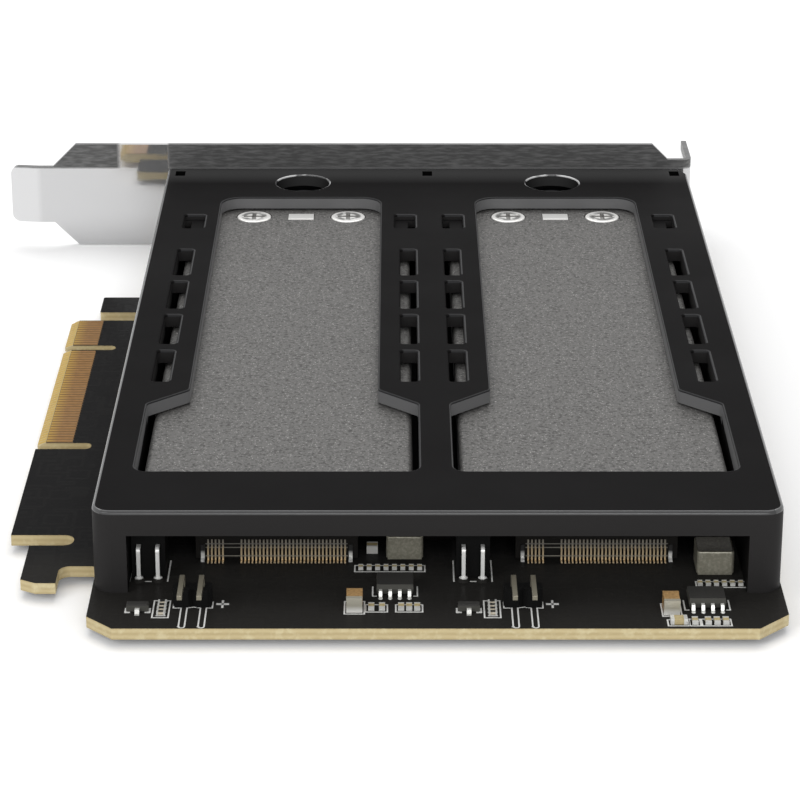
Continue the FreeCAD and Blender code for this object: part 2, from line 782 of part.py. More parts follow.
def make_bezel(centre):
    half = bezel_width / 2
    bezel = front_shape(rectangle(centre - half, centre + half, bezel_bottom, bezel_top, 1.0),
                        bezel_inner, bezel_outer)
    bezel = bezel.makeFillet(0.5, edges_at(bezel, lambda p: p.y > bezel_outer - 1e-4))
    hinge_x = centre + hinge_offset
    barrel = hinge_barrel_diameter / 2
    ears = []
    lever_low = lever_middle - lever_height / 2 - lever_end_gap
    lever_high = lever_middle + lever_height / 2 + lever_end_gap
    for z0, z1 in ((lever_low - hinge_ear_height, lever_low),
                   (lever_high, lever_high + hinge_ear_height)):
        ear = box(hinge_x - barrel, hinge_x + barrel, bezel_outer - 1, hinge_y, z0, z1)
        ears.append(ear.fuse(rod(barrel, (hinge_x, hinge_y, z0), (hinge_x, hinge_y, z1))))
    bezel = bezel.fuse(ears)
    bezel = bezel.cut(rod(hinge_pin_diameter / 2, (hinge_x, hinge_y, bezel_bottom - 5),
                          (hinge_x, hinge_y, bezel_top + 5)))
    bezel = bezel.cut(rod(barrel + 0.35, (hinge_x, hinge_y, lever_low), (hinge_x, hinge_y, lever_high)))
    pipe_x = centre + light_pipe_offset
    bezel = bezel.cut(rod(light_pipe_diameter / 2 + pilot_clearance,
                          (pipe_x, bezel_inner - 1, led_axis_height),
                          (pipe_x, bezel_outer + 2, led_axis_height)))
    for x in bezel_screw_places(centre):
        bezel = bezel.cut(rod(small_thread_diameter / 2 + thread_clearance,
                              (x, bezel_inner - 1, lever_middle), (x, bezel_outer + 1, lever_middle)))
        bezel = bezel.cut(rod(small_head_diameter / 2 + head_clearance,
                              (x, bezel_outer - bezel_screw_recess, lever_middle),
                              (x, bezel_outer + 1, lever_middle)))
    catch_left = centre + lever_tip_offset + hook_inset - hook_clearance
    catch = box(catch_left, catch_left + hook_thickness + 2 * hook_clearance,
                bezel_outer - hook_depth - hook_clearance, bezel_outer + 1,
                lever_middle - hook_height / 2 - hook_clearance,
                lever_middle + hook_height / 2 + hook_clearance)
    return bezel.cut(catch).removeSplitter()


def make_bezel_screws(centre):
    model = screw(small_thread_diameter, bezel_thickness - bezel_screw_recess + bezel_screw_reach,
                  small_head_diameter, small_head_height)
    model.rotate(Vector(0, 0, 0), Vector(1, 0, 0), -90)
    return group([model.translated(Vector(x, bezel_outer - bezel_screw_recess, lever_middle))
                  for x in bezel_screw_places(centre)])


def make_lever(centre):
    """The eject lever: a flat handle with a barrel at its hinge and a lip at its free end."""
    hinge_x = centre + hinge_offset
    barrel = hinge_barrel_diameter / 2
    low = lever_middle - lever_height / 2
    high = lever_middle + lever_height / 2
    inner = bezel_outer + lever_gap
    outer = inner + lever_thickness
    tip = centre + lever_tip_offset
    handle = plan_shape([
        (tip, outer + 0.9, 0.4), (tip, inner + 0.7, 0.6), (tip + 2.0, inner), (hinge_x, inner),
        (hinge_x, outer), (tip + 4.0, outer, 3), (tip + 2.2, outer + 0.9, 1.0),
    ], low, high)
    handle = handle.fuse(rod(barrel, (hinge_x, hinge_y, low), (hinge_x, hinge_y, high)))
    for i in range(3):
        x = tip + 9.0 + i * 2.2
        handle = handle.cut(box(x, x + 1.0, outer - 0.5, outer + 1, low + 1.2, high - 1.2))
    hook = box(tip + hook_inset, tip + hook_inset + hook_thickness, bezel_outer - hook_depth,
               inner + 0.8, lever_middle - hook_height / 2, lever_middle + hook_height / 2)
    return handle.fuse(hook).cut(rod(hinge_pin_diameter / 2 + hinge_running_clearance,
                                     (hinge_x, hinge_y, low - 1), (hinge_x, hinge_y, high + 1)))


def make_lever_pin(centre):
    hinge_x = centre + hinge_offset
    reach = lever_height / 2 + lever_end_gap + hinge_ear_height
    return rod(hinge_pin_diameter / 2, (hinge_x, hinge_y, lever_middle - reach),
               (hinge_x, hinge_y, lever_middle + reach))


# ---- parts on the board ----------------------------------------------------------------------
def make_drive_socket(centre):
    half = socket_width / 2
    back = socket_rear_face - socket_length
    body = side_shape([
        (back, 0.1), (socket_rear_face, 0.1), (socket_rear_face, socket_height),
        (back + 1.2, socket_height), (back, socket_height - 0.9),
    ], centre - half, centre + half)
    mouth = box(centre - half + 0.85, centre + half - 0.85, socket_rear_face - socket_depth,
                socket_rear_face + 1, 1.9, 3.1)
    body = body.cut(mouth)
    key_left = centre - half + 1.5 + keyed_contact_count * socket_contact_pitch
    key = box(key_left, key_left + 1.2, socket_rear_face - socket_depth - 0.1, socket_rear_face,
              1.8, 3.2)
    return body.fuse(key).removeSplitter()


def socket_contact_places(centre):
    total = keyed_contact_count + missing_contact_count + main_contact_count
    first = centre - (total - 1) * socket_contact_pitch / 2
    keyed = range(keyed_contact_count)
    long_row = range(keyed_contact_count + missing_contact_count, total)
    return [first + i * socket_contact_pitch for i in list(keyed) + list(long_row)]


def make_socket_contacts(centre):
    inner = socket_rear_face - socket_length - socket_gap
    outer = inner - socket_contact_stand
    toe = socket_rear_face - socket_length - socket_contact_foot
    half = socket_contact_width / 2
    sheet = socket_contact_sheet
    strips = []
    for x in socket_contact_places(centre):
        strips.append(side_shape([
            (inner, socket_contact_top), (inner - sheet, socket_contact_top),
            (inner - sheet, socket_contact_neck), (outer - sheet, socket_contact_knee),
            (outer - sheet, sheet), (toe, sheet), (toe, 0), (outer, 0),
            (outer, socket_contact_knee - sheet / 2), (inner, socket_contact_neck - sheet / 2),
        ], x - half, x + half))
    return group(strips)


def make_socket_tabs():
    inner = socket_rear_face - socket_length - socket_gap
    outer = inner - socket_tab_sheet
    toe = socket_rear_face - socket_length - socket_tab_foot
    tabs = []
    for centre in channels.values():
        for side in (-1, 1):
            x = centre + side * socket_tab_spacing / 2
            tabs.append(side_shape([
                (inner, socket_tab_top), (outer, socket_tab_top), (outer, socket_tab_sheet + 0.05),
                (toe, socket_tab_sheet - 0.05), (toe, 0), (inner, 0),
            ], x - socket_tab_width / 2, x + socket_tab_width / 2))
    return group(tabs)


def make_led_housings():
    blocks = []
    for centre in channels.values():
        x = centre + led_offset
        half = led_housing_width / 2
        block = box(x - half, x + half, led_front, led_front + led_housing_length,
                    0.05, led_housing_height)
        block = block.makeChamfer(0.4, edges_at(block, lambda p: p.z > led_housing_height - 1e-4))
        block = block.cut(rod(led_diameter / 2 + 0.05, (x, led_front + led_seat - 0.1, led_axis_height),
                              (x, led_end + 1, led_axis_height)))
        bore = led_lead_size / 2 + led_bore_clearance
        for lead_x, _ in led_lead_places(centre):
            block = block.cut(box(lead_x - bore, lead_x + bore, led_front - 1, led_front + led_seat,
                                  led_axis_height - bore, led_axis_height + bore))
        blocks.append(block)
    return group(blocks)


def make_led(centre):
    x = centre + led_offset
    radius = led_diameter / 2
    barrel = rod(radius, (x, led_front + led_seat, led_axis_height), (x, led_end, led_axis_height))
    dome = edges_at(barrel, lambda p: p.y > led_end - 1)
    return barrel.makeFillet(radius * 0.75, dome)


def solder_dome(x, y):
    """The round solder joint where a lead enters the board."""
    radius = (solder_radius ** 2 + solder_height ** 2) / (2 * solder_height)
    ball = Part.makeSphere(radius, Vector(x, y, solder_height - radius))
    return ball.common(box(x - radius, x + radius, y - radius, y + radius, 0, radius + 1))


def make_led_leads():
    wires = []
    half = led_lead_size / 2
    top = led_axis_height + half
    end = led_front + led_seat - 0.05
    for centre in channels.values():
        for x, y in led_lead_places(centre):
            wire = side_shape([
                (y - half, board_bottom - pin_stub), (y + half, board_bottom - pin_stub),
                (y + half, top - led_lead_size, 0.2), (end, top - led_lead_size),
                (end, top), (y - half, top, 0.6),
            ], x - half, x + half)
            wires.append(wire.fuse(solder_dome(x, y)))
    return group(wires)


def make_header_bodies():
    """Two-way header blocks, with the V nicks where a longer strip was snapped."""
    blocks = []
    half = header_pitch / 2
    nick = 0.55
    for centre in channels.values():
        x = centre + header_offset
        corners = []
        for sign in (-1, 1):
            y = header_y + sign * half
            row = [(-2 * half, nick), (-2 * half + nick, 0), (-nick, 0), (0, nick), (nick, 0),
                   (2 * half - nick, 0), (2 * half, nick)]
            if sign > 0:
                row.reverse()
            corners += [(x + u, y - sign * v) for u, v in row]
        block = plan_shape(corners, 0.02, header_pitch)
        for px, py in header_pin_places(centre):
            size = header_pin_size / 2 + 0.01
            block = block.cut(box(px - size, px + size, py - size, py + size, -1, header_pitch + 1))
        blocks.append(block)
    return group(blocks)


def make_header_pins():
    pins = []
    half = header_pin_size / 2
    low = header_pin_height - half
    high = header_pin_height + half
    tip = board_front + header_pin_setback
    for centre in channels.values():
        for x, y in header_pin_places(centre):
            pin = side_shape([
                (y - half, board_bottom - pin_stub), (y + half, board_bottom - pin_stub),
                (y + half, high, 0.9), (tip, high, 0.12), (tip, low, 0.12), (y - half, low, 0.3),
            ], x - half, x + half)
            pins.append(pin)
    return group(pins)


def driver_chip_place(side):
    """The left chip stands beside its drive socket, the right one by the cage's right wall.
    Each coil and its passives follow their chip."""
    x = left_channel + (socket_width / 2 + left_chip_gap)
    if side == "right":
        x = right_channel + (channel_half - right_chip_inset)
    return (x, board_front + driver_chip_setback[side])


def from_driver_chip(side, offset):
    x, y = driver_chip_place(side)
    return (x + offset[0], y + offset[1])


def make_inductors():
    """Shielded coils, each a block on a thin base."""
    coils = []
    for side in channels:
        x, y = from_driver_chip(side, coil_offset[side])
        half = inductor_size / 2
        block = plan_shape(rectangle(x - half, x + half, y - half, y + half, 0.45),
                           0.3, inductor_height)
        block = block.makeFillet(0.3, edges_at(block, lambda p: p.z > inductor_height - 1e-4))
        base = box(x - half + 0.2, x + half - 0.2, y - half + 0.2, y + half - 0.2, 0, 0.35)
        coils.append(block.fuse(base))
    return group(coils)


def make_driver_chips():
    """Eight-lead chips, each body drafted above and below its lead line."""
    chips = []
    for side in channels:
        x, y = driver_chip_place(side)
        wires = []
        for draft, z in ((0.1, 0.15), (0, 0.8), (0.1, driver_chip_top)):
            across = driver_chip_width / 2 - draft
            along = driver_chip_length / 2 - draft
            wire = outline(rectangle(x - across, x + across, y - along, y + along))
            wire.translate(Vector(0, 0, z))
            wires.append(wire)
        chips.append(Part.makeLoft(wires, True, True))
    return group(chips)


def gull_lead(x, y, side, width, height, reach):
    """A bent chip lead that leaves the body at (x, y) towards +Y or -Y."""
    sheet = 0.2
    leg = [
        (0, height), (0, height - sheet), (reach * 0.35, height - sheet), (reach * 0.6, 0),
        (reach, 0), (reach, sheet), (reach * 0.6 + sheet, sheet), (reach * 0.35 + sheet, height),
    ]
    return side_shape([(y + side * u, z) for u, z in leg], x - width / 2, x + width / 2)


def make_chip_leads():
    leads = []
    for side in channels:
        x, y = driver_chip_place(side)
        for i in range(driver_lead_count):
            lead_x = x + (i - (driver_lead_count - 1) / 2) * driver_lead_pitch
            for turn in (-1, 1):
                lead_y = y + turn * (driver_chip_length / 2 + lead_gap)
                leads.append(gull_lead(lead_x, lead_y, turn, 0.45, 0.85, 1.1))
    return group(leads)


def transistor_place(centre):
    return (centre - channel_half + transistor_inset, board_front + transistor_setback)


def make_transistors():
    blocks = []
    for centre in channels.values():
        x, y = transistor_place(centre)
        block = box(x - transistor_width / 2, x + transistor_width / 2,
                    y - transistor_length / 2, y + transistor_length / 2, 0.08, transistor_top)
        blocks.append(block.makeChamfer(0.15, edges_at(block, lambda p: p.z > transistor_top - 1e-4)))
    return group(blocks)


def make_transistor_leads():
    leads = []
    for centre in channels.values():
        x, y = transistor_place(centre)
        front = y - transistor_length / 2 - lead_gap
        rear = y + transistor_length / 2 + lead_gap
        leads.append(gull_lead(x, front, -1, 0.6, 0.6, 1.1))
        for turn in (-1, 1):
            leads.append(gull_lead(x + turn * transistor_lead_spacing / 2, rear, 1, 0.45, 0.6, 0.65))
    return group(leads)


def row(side, count, offset, step, size):
    """A row of passive chips, each (x, y, length along x, length along y, height)."""
    x, y = from_driver_chip(side, offset)
    return [(x + i * step, y) + size for i in range(count)]


def bulk_capacitors():
    return (row("left", 1, left_bulk_offset, 0, bulk_size)
            + row("right", 1, right_bulk_offset, 0, bulk_size))


def capacitors():
    """The small ceramic chips around each driver chip and coil."""
    return (row("left", 2, (-3.1, front_row_setback), 1.4, small_chip)
            + row("left", 3, (0.8, front_row_setback), 1.05, small_chip)
            + row("left", 8, coil_row_offset["left"], 1.13, coil_row_chip)
            + row("left", 1, coil_chip_offset, 0, coil_chip)
            + row("right", 6, coil_row_offset["right"], 1.08, coil_row_chip)
            + row("right", 1, (-4.1, front_row_setback), 0, wide_chip)
            + row("right", 1, (-2.0, front_row_setback), 0, small_chip)
            + row("right", 3, (-0.3, front_row_setback), 1.15, small_chip))


def resistors():
    places = []
    for centre in channels.values():
        for i in range(resistor_count):
            y = board_front + resistor_setback - i * resistor_pitch
            places.append((centre - channel_half + resistor_inset, y) + resistor_size)
    return places


def chip_end(part):
    """How far the metal reaches along a passive chip from each end."""
    return max(part[2], part[3]) * 0.22


def chip_bodies(parts):
    blocks = []
    for part in parts:
        x, y, dx, dy, height = part
        end = chip_end(part)
        inset_x = end if dx >= dy else 0.03
        inset_y = end if dy > dx else 0.03
        blocks.append(box(x - dx / 2 + inset_x, x + dx / 2 - inset_x, y - dy / 2 + inset_y,
                          y + dy / 2 - inset_y, 0.03, height - 0.03))
    return group(blocks)


def chip_ends(parts):
    caps = []
    for part in parts:
        x, y, dx, dy, height = part
        end = chip_end(part)
        for side in (-1, 1):
            if dy > dx:
                y0, y1 = sorted((y + side * dy / 2, y + side * (dy / 2 - end)))
                cap = box(x - dx / 2, x + dx / 2, y0, y1, 0, height)
            else:
                x0, x1 = sorted((x + side * dx / 2, x + side * (dx / 2 - end)))
                cap = box(x0, x1, y - dy / 2, y + dy / 2, 0, height)
            caps.append(cap)
    return group(caps)


# ---- write every piece -----------------------------------------------------------------------
def main():
    pieces = {
        "board": make_board(),
        "edge_contacts": make_edge_contacts(),
        "cage": make_cage(),
        "cage_screws": make_cage_screws(),
        "slot_bracket": make_bracket(),
        "bracket_screws": make_bracket_screws(),
        "socket_tabs": make_socket_tabs(),
        "led_housings": make_led_housings(),
        "led_leads": make_led_leads(),
        "header_bodies": make_header_bodies(),
        "header_pins": make_header_pins(),
        "power_inductors": make_inductors(),
        "driver_chips": make_driver_chips(),
        "driver_chip_leads": make_chip_leads(),
        "transistors": make_transistors(),
        "transistor_leads": make_transistor_leads(),
        "bulk_capacitors": chip_bodies(bulk_capacitors()),
        "bulk_capacitor_ends": chip_ends(bulk_capacitors()),
        "chip_capacitors": chip_bodies(capacitors()),
        "chip_resistors": chip_bodies(resistors()),
        "chip_ends": chip_ends(capacitors() + resistors()),
    }
    for side, centre in channels.items():
        pieces[side + "_drive_socket"] = make_drive_socket(centre)
        pieces[side + "_socket_contacts"] = make_socket_contacts(centre)
        pieces[side + "_led"] = make_led(centre)
        pieces[side + "_tray"] = make_tray(centre)
        pieces[side + "_tray_lid"] = make_lid(centre)
        pieces[side + "_lid_screws"] = make_lid_screws(centre)
        pieces[side + "_lid_clip"] = make_lid_clip(centre)
        pieces[side + "_thermal_pad"] = make_thermal_pad(centre)
        pieces[side + "_drive_standoff"] = make_drive_standoff(centre)
        pieces[side + "_drive_screw"] = make_drive_screw(centre)
        pieces[side + "_light_pipe"] = make_light_pipe(centre)
        pieces[side + "_bezel"] = make_bezel(centre)
        pieces[side + "_bezel_screws"] = make_bezel_screws(centre)
        pieces[side + "_eject_lever"] = make_lever(centre)
        pieces[side + "_lever_pin"] = make_lever_pin(centre)
    os.makedirs("parts", exist_ok=True)
    for name, shape in pieces.items():
        shape.exportStep("parts/" + name + ".step")
        print(name, "solids", len(shape.Solids), "volume %.1f" % shape.Volume, "valid", shape.isValid())


main()
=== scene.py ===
# %% [markdown]
# # A two-bay drive adapter card
# The card slides into a computer's expansion slot and holds two solid-state drives in trays.
# Its hard parts come from the CAD frame: board, cage, trays, bracket and components. Blender adds what
# the solids lack: finishes, printed marks, plated tips, thin bars on the sockets, solder, light and a
# camera. Loading the frame first gives every place that the later cells measure from.

# %% Load the frame
import math

import bmesh
import bpy
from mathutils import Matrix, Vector


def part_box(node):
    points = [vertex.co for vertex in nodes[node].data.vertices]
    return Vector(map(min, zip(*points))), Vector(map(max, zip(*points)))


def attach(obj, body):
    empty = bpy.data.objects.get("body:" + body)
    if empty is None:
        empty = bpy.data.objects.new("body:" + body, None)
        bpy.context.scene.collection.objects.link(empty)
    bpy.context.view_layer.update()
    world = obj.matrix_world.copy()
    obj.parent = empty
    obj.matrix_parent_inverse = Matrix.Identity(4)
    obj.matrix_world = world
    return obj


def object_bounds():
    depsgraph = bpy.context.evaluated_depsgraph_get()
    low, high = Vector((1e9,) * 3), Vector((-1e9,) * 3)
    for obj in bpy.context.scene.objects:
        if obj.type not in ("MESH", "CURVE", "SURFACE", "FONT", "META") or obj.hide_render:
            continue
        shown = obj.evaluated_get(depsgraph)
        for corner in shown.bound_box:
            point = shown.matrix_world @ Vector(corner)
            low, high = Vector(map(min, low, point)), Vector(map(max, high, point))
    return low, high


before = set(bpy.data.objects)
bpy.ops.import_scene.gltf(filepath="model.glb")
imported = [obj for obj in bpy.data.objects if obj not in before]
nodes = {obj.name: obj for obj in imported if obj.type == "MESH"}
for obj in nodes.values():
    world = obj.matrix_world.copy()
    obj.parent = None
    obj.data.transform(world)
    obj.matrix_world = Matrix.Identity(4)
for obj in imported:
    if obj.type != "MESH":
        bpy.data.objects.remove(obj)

cad_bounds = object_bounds()
scene = bpy.context.scene
MM = 0.001

# %% [markdown]
# Every later cell needs a few lengths. They are read from the solids, so a change in the CAD moves
# the printed marks, the solder and the tips with it. Boxes stay in metres, as Blender has them. Places
# of small parts are kept in millimetres, which is easier to read when a mark is drawn beside them.

# %% Measure the solids
board_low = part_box("board")[0]
cage_low, cage_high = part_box("cage")
contact_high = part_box("edge_contacts")[1]
board_front = board_low.y / MM
board_bottom = board_low.z / MM
channel_middles = {}
for side in ("left", "right"):
    low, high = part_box(side + "_drive_socket")
    channel_middles[side] = (low.x + high.x) / 2
card_middle = sum(channel_middles.values()) / 2
print("channel middles, mm:", {k: round(v / MM, 2) for k, v in channel_middles.items()})

# %% [markdown]
# One solid often holds a part of each channel. Sorting its vertices by the side of the card that they
# lie on gives the place of each part, with nothing typed in.

# %% Find the parts of each channel
HEADER_PITCH = 2.54


def vertices_of(name):
    """The places of a solid's vertices, in millimetres."""
    node = nodes[name]
    return [node.matrix_world @ vertex.co / MM for vertex in node.data.vertices]


def places_by_side(name, below=math.inf):
    """The middle of what a solid has in each channel, as {side: (x, y)} in millimetres."""
    places = {}
    for side, sign in (("left", -1), ("right", 1)):
        own = [p for p in vertices_of(name) if sign * (p.x - card_middle / MM) > 0 and p.z < below]
        places[side] = tuple((min(p[i] for p in own) + max(p[i] for p in own)) / 2 for i in (0, 1))
    print(name, "mm:", {side: (round(x, 2), round(y, 2)) for side, (x, y) in places.items()})
    return places


driver_chips = places_by_side("driver_chips")
lamp_leads = places_by_side("led_leads", below=board_bottom)
headers = places_by_side("header_bodies")
resistor_banks = places_by_side("chip_resistors")
transistors = places_by_side("transistors")

# %% [markdown]
# ## Shader node groups
# Several finishes share an effect: the grain of a moulding, the flecks of blasted metal, the soft
# unevenness of a real surface. Each effect is one node group that puts out masks and heights. The
# material decides what to do with them, so one group serves many finishes.


# %% Helpers for shader groups
def shader_group(name, inputs, outputs):
    """A new shader node group with float inputs (name, value) and the named outputs."""
    group = bpy.data.node_groups.new(name, "ShaderNodeTree")
    group.interface.new_socket("Place", in_out="INPUT", socket_type="NodeSocketVector")
    for label, value in inputs:
        socket = group.interface.new_socket(label, in_out="INPUT", socket_type="NodeSocketFloat")
        socket.default_value = value
    for label in outputs:
        group.interface.new_socket(label, in_out="OUTPUT", socket_type="NodeSocketFloat")
    return group, group.nodes.new("NodeGroupInput"), group.nodes.new("NodeGroupOutput")


def noise(tree, place, scale, detail=2.0, roughness=0.5):
    node = tree.nodes.new("ShaderNodeTexNoise")
    node.inputs["Detail"].default_value = detail
    node.inputs["Roughness"].default_value = roughness
    tree.links.new(place, node.inputs["Vector"])
    if isinstance(scale, (int, float)):
        node.inputs["Scale"].default_value = scale
    else:
        tree.links.new(scale, node.inputs["Scale"])
    return node.outputs["Fac"]


def maths(tree, operation, a, b=None):
    node = tree.nodes.new("ShaderNodeMath")
    node.operation = operation
    for i, value in enumerate((a, b)):
        if isinstance(value, (int, float)):
            node.inputs[i].default_value = value
        elif value is not None:
            tree.links.new(value, node.inputs[i])
    return node.outputs[0]


def remap(tree, value, low, high, to_low=0.0, to_high=1.0):
    node = tree.nodes.new("ShaderNodeMapRange")
    for label, given in (("From Min", low), ("From Max", high), ("To Min", to_low), ("To Max", to_high)):
        node.inputs[label].default_value = given
    tree.links.new(value, node.inputs["Value"])
    return node.outputs["Result"]


def split_axes(tree, place):
    """The X, Y and Z of a place, as separate outputs."""
    node = tree.nodes.new("ShaderNodeSeparateXYZ")
    tree.links.new(place, node.inputs[0])
    return node.outputs


print("helpers ready")

# %% [markdown]
# Moulded plastic has a spark-eroded grain: tiny rounded bumps, with a slow unevenness in the gloss.
# Blasted metal is a mix of light and dark flecks. Two noises make the one, and a noise with the hearts
# of Voronoi cells makes the other. A noise's scale counts its cells in a metre, so 5000 makes bumps
# of a fifth of a millimetre.


# %% Build the grain and the flecks
def build_moulded_grain():
    group, entry, leave = shader_group("moulded_grain", [("Scale", 5000.0)], ["Height", "Gloss Shift"])
    slow_scale = 45.0
    fine = noise(group, entry.outputs["Place"], entry.outputs["Scale"], detail=1.0)
    slow = noise(group, entry.outputs["Place"], slow_scale, detail=3.0)
    group.links.new(fine, leave.inputs["Height"])
    group.links.new(slow, leave.inputs["Gloss Shift"])
    return group


def build_metal_flecks():
    group, entry, leave = shader_group("metal_flecks", [("Scale", 1500.0)], ["Light", "Dark", "Height"])
    place = entry.outputs["Place"]
    cells_per_bump = 1.3
    coarse = noise(group, place, entry.outputs["Scale"], detail=3.0, roughness=0.7)
    cells = group.nodes.new("ShaderNodeTexVoronoi")
    group.links.new(place, cells.inputs["Vector"])
    group.links.new(maths(group, "MULTIPLY", entry.outputs["Scale"], cells_per_bump), cells.inputs["Scale"])
    cell_hearts = remap(group, cells.outputs["Distance"], 0.32, 0.0)
    high_spots = remap(group, coarse, 0.47, 0.58)
    low_spots = remap(group, coarse, 0.5, 0.36)
    group.links.new(maths(group, "MULTIPLY", cell_hearts, high_spots), leave.inputs["Light"])
    group.links.new(low_spots, leave.inputs["Dark"])
    group.links.new(coarse, leave.inputs["Height"])
    return group


moulded_grain = build_moulded_grain()
metal_flecks = build_metal_flecks()
print("effects:", [g.name for g in bpy.data.node_groups])

# %% [markdown]
# Rolled sheet has faint long waves along the roll, so its place is squeezed along one axis before a
# noise reads it. The board's edge shows its glass cloth in layers, which are a sine of the height,
# bent by a noise. Its mask sits slightly higher over the tracks, drawn as rings in square cells.


# %% Build the waves, the cloth and the tracks
def build_rolled_waves():
    group, entry, leave = shader_group("rolled_waves", [("Scale", 60.0), ("Stretch", 0.15)], ["Height"])
    axes = split_axes(group, entry.outputs["Place"])
    join = group.nodes.new("ShaderNodeCombineXYZ")
    group.links.new(maths(group, "MULTIPLY", axes["X"], entry.outputs["Stretch"]), join.inputs["X"])
    group.links.new(axes["Y"], join.inputs["Y"])
    group.links.new(axes["Z"], join.inputs["Z"])
    waves = noise(group, join.outputs[0], entry.outputs["Scale"], detail=3.0)
    group.links.new(waves, leave.inputs["Height"])
    return group


def build_cloth_layers():
    group, entry, leave = shader_group(
        "cloth_layers", [("Layers", 8.0), ("Thickness", 1.57 * MM)], ["Layer", "Mottle"])
    mottle_scale, wander = 900.0, 3.0
    height = split_axes(group, entry.outputs["Place"])["Z"]
    share = maths(group, "DIVIDE", height, entry.outputs["Thickness"])
    turns = maths(group, "MULTIPLY", maths(group, "MULTIPLY", share, entry.outputs["Layers"]), 2 * math.pi)
    mottle = noise(group, entry.outputs["Place"], mottle_scale, detail=3.0, roughness=0.6)
    wave = maths(group, "SINE", maths(group, "ADD", turns, maths(group, "MULTIPLY", mottle, wander)))
    group.links.new(remap(group, wave, -1.0, 1.0), leave.inputs["Layer"])
    group.links.new(mottle, leave.inputs["Mottle"])
    return group


def build_hidden_tracks():
    group, entry, leave = shader_group("hidden_tracks", [("Pitch", 900.0)], ["Height", "Gloss Shift"])
    place = entry.outputs["Place"]
    tiles_per_pitch, ring_turns, gloss_scale = 0.22, 24.0, 300.0
    tiles = group.nodes.new("ShaderNodeTexVoronoi")
    tiles.distance = "CHEBYCHEV"
    tiles.feature = "F1"
    group.links.new(place, tiles.inputs["Vector"])
    group.links.new(maths(group, "MULTIPLY", entry.outputs["Pitch"], tiles_per_pitch), tiles.inputs["Scale"])
    rings = maths(group, "SINE", maths(group, "MULTIPLY", tiles.outputs["Distance"], ring_turns))
    group.links.new(remap(group, rings, 0.2, 0.5), leave.inputs["Height"])
    group.links.new(noise(group, place, gloss_scale, detail=2.0), leave.inputs["Gloss Shift"])
    return group


rolled_waves = build_rolled_waves()
cloth_layers = build_cloth_layers()
hidden_tracks = build_hidden_tracks()
print("effects:", [g.name for g in bpy.data.node_groups])

# %% [markdown]
# ## Finishes
# A finish is a Principled shader with its own plain values, and one or two shared effects that vary
# its colour, roughness and height. Values that are the same all over are set on the shader itself.


# %% Helpers for finishes
class Finish:
    """A material in the making: its shader and a place to plug effects in."""

    def __init__(self, name, colour, roughness, metallic=0.0, specular=0.5):
        self.material = bpy.data.materials.new(name)
        self.material.use_nodes = True
        self.tree = self.material.node_tree
        self.shader = self.tree.nodes["Principled BSDF"]
        self.colour = colour
        for label, value in (("Base Color", (*colour, 1)), ("Roughness", roughness),
                             ("Metallic", metallic), ("Specular IOR Level", specular)):
            self.shader.inputs[label].default_value = value
        self.place = self.tree.nodes.new("ShaderNodeTexCoord").outputs["Object"]

    def effect(self, group, **values):
        node = self.tree.nodes.new("ShaderNodeGroup")
        node.node_tree = group
        self.tree.links.new(self.place, node.inputs["Place"])
        for label, value in values.items():
            node.inputs[label].default_value = value
        return node.outputs

    def tint(self, mask, other, colour=None):
        """Turns the colour towards another one by a mask."""
        mix = self.tree.nodes.new("ShaderNodeMix")
        mix.data_type = "RGBA"
        self.tree.links.new(mask, mix.inputs["Factor"])
        if colour is None:
            mix.inputs["A"].default_value = (*self.colour, 1)
        else:
            self.tree.links.new(colour, mix.inputs["A"])
        mix.inputs["B"].default_value = (*other, 1)
        self.tree.links.new(mix.outputs["Result"], self.shader.inputs["Base Color"])
        return mix.outputs["Result"]

    def gloss(self, value, low, high):
        """Roughness that goes from low to high with a mask."""
        self.tree.links.new(remap(self.tree, value, 0.25, 0.75, low, high), self.shader.inputs["Roughness"])

    def along(self, axis, low, high):
        """A mask that goes from 0 to 1 between two places on an axis, in millimetres."""
        return remap(self.tree, split_axes(self.tree, self.place)[axis], low * MM, high * MM)

    def relief(self, height, depth, strength=1.0):
        """A bump whose height reaches the given depth in metres."""
        bump = self.tree.nodes.new("ShaderNodeBump")
        bump.inputs["Distance"].default_value = depth
        bump.inputs["Strength"].default_value = strength
        self.tree.links.new(height, bump.inputs["Height"])
        self.tree.links.new(bump.outputs["Normal"], self.shader.inputs["Normal"])

    def grained(self, scale, low, high, depth=None):
        """A fine grain that varies the roughness and, given a depth, the height. Returns its height."""
        grain = self.effect(moulded_grain, Scale=scale)
        self.gloss(grain["Gloss Shift"], low, high)
        if depth:
            self.relief(grain["Height"], depth)
        return grain["Height"]


print("finish helper ready")

# %% [markdown]
# The cage, the trays and the chips are black mouldings, each with its grain at its real size: a fifth
# of a millimetre or less. A moulding is given by its colour, its roughness at the glossiest and the
# dullest places, the scale and depth of its grain, and how strongly it reflects. The cage's rims
# shine differently from its top, so it takes several. Its window walls and front faces are painted
# lighter than its top, as painted light, and its pockets darker, as painted shade.

# %% Mouldings
TRAY_GRAIN = 5000.0
CAGE_GRAIN = 6000.0
SMALL_GRAIN = 7000.0
RIM_RELIEF = 0.002 * MM
WALL_RELIEF = 0.006 * MM
FINE_RELIEF = 0.008 * MM
TRAY_RELIEF = 0.012 * MM


def moulded(name, colour, low, high, scale, depth, specular=0.3):
    finish = Finish(name, colour, (low + high) / 2, specular=specular)
    finish.grained(scale, low, high, depth)
    return finish.material


def cage_skin_with_rear_highlight():
    """The cage's black, with a painted highlight: a greyer band along its rear end."""
    finish = Finish("cage_moulding", (0.0076, 0.0072, 0.0074), 0.49, specular=0.01)
    cage_rear = cage_high.y / MM
    finish.grained(CAGE_GRAIN, 0.42, 0.56, FINE_RELIEF)
    # painted highlight: the black turns greyer towards the cage's rear end
    finish.tint(finish.along("Y", cage_rear - 8.7, cage_rear - 1.2), (0.05, 0.05, 0.05))
    return finish.material


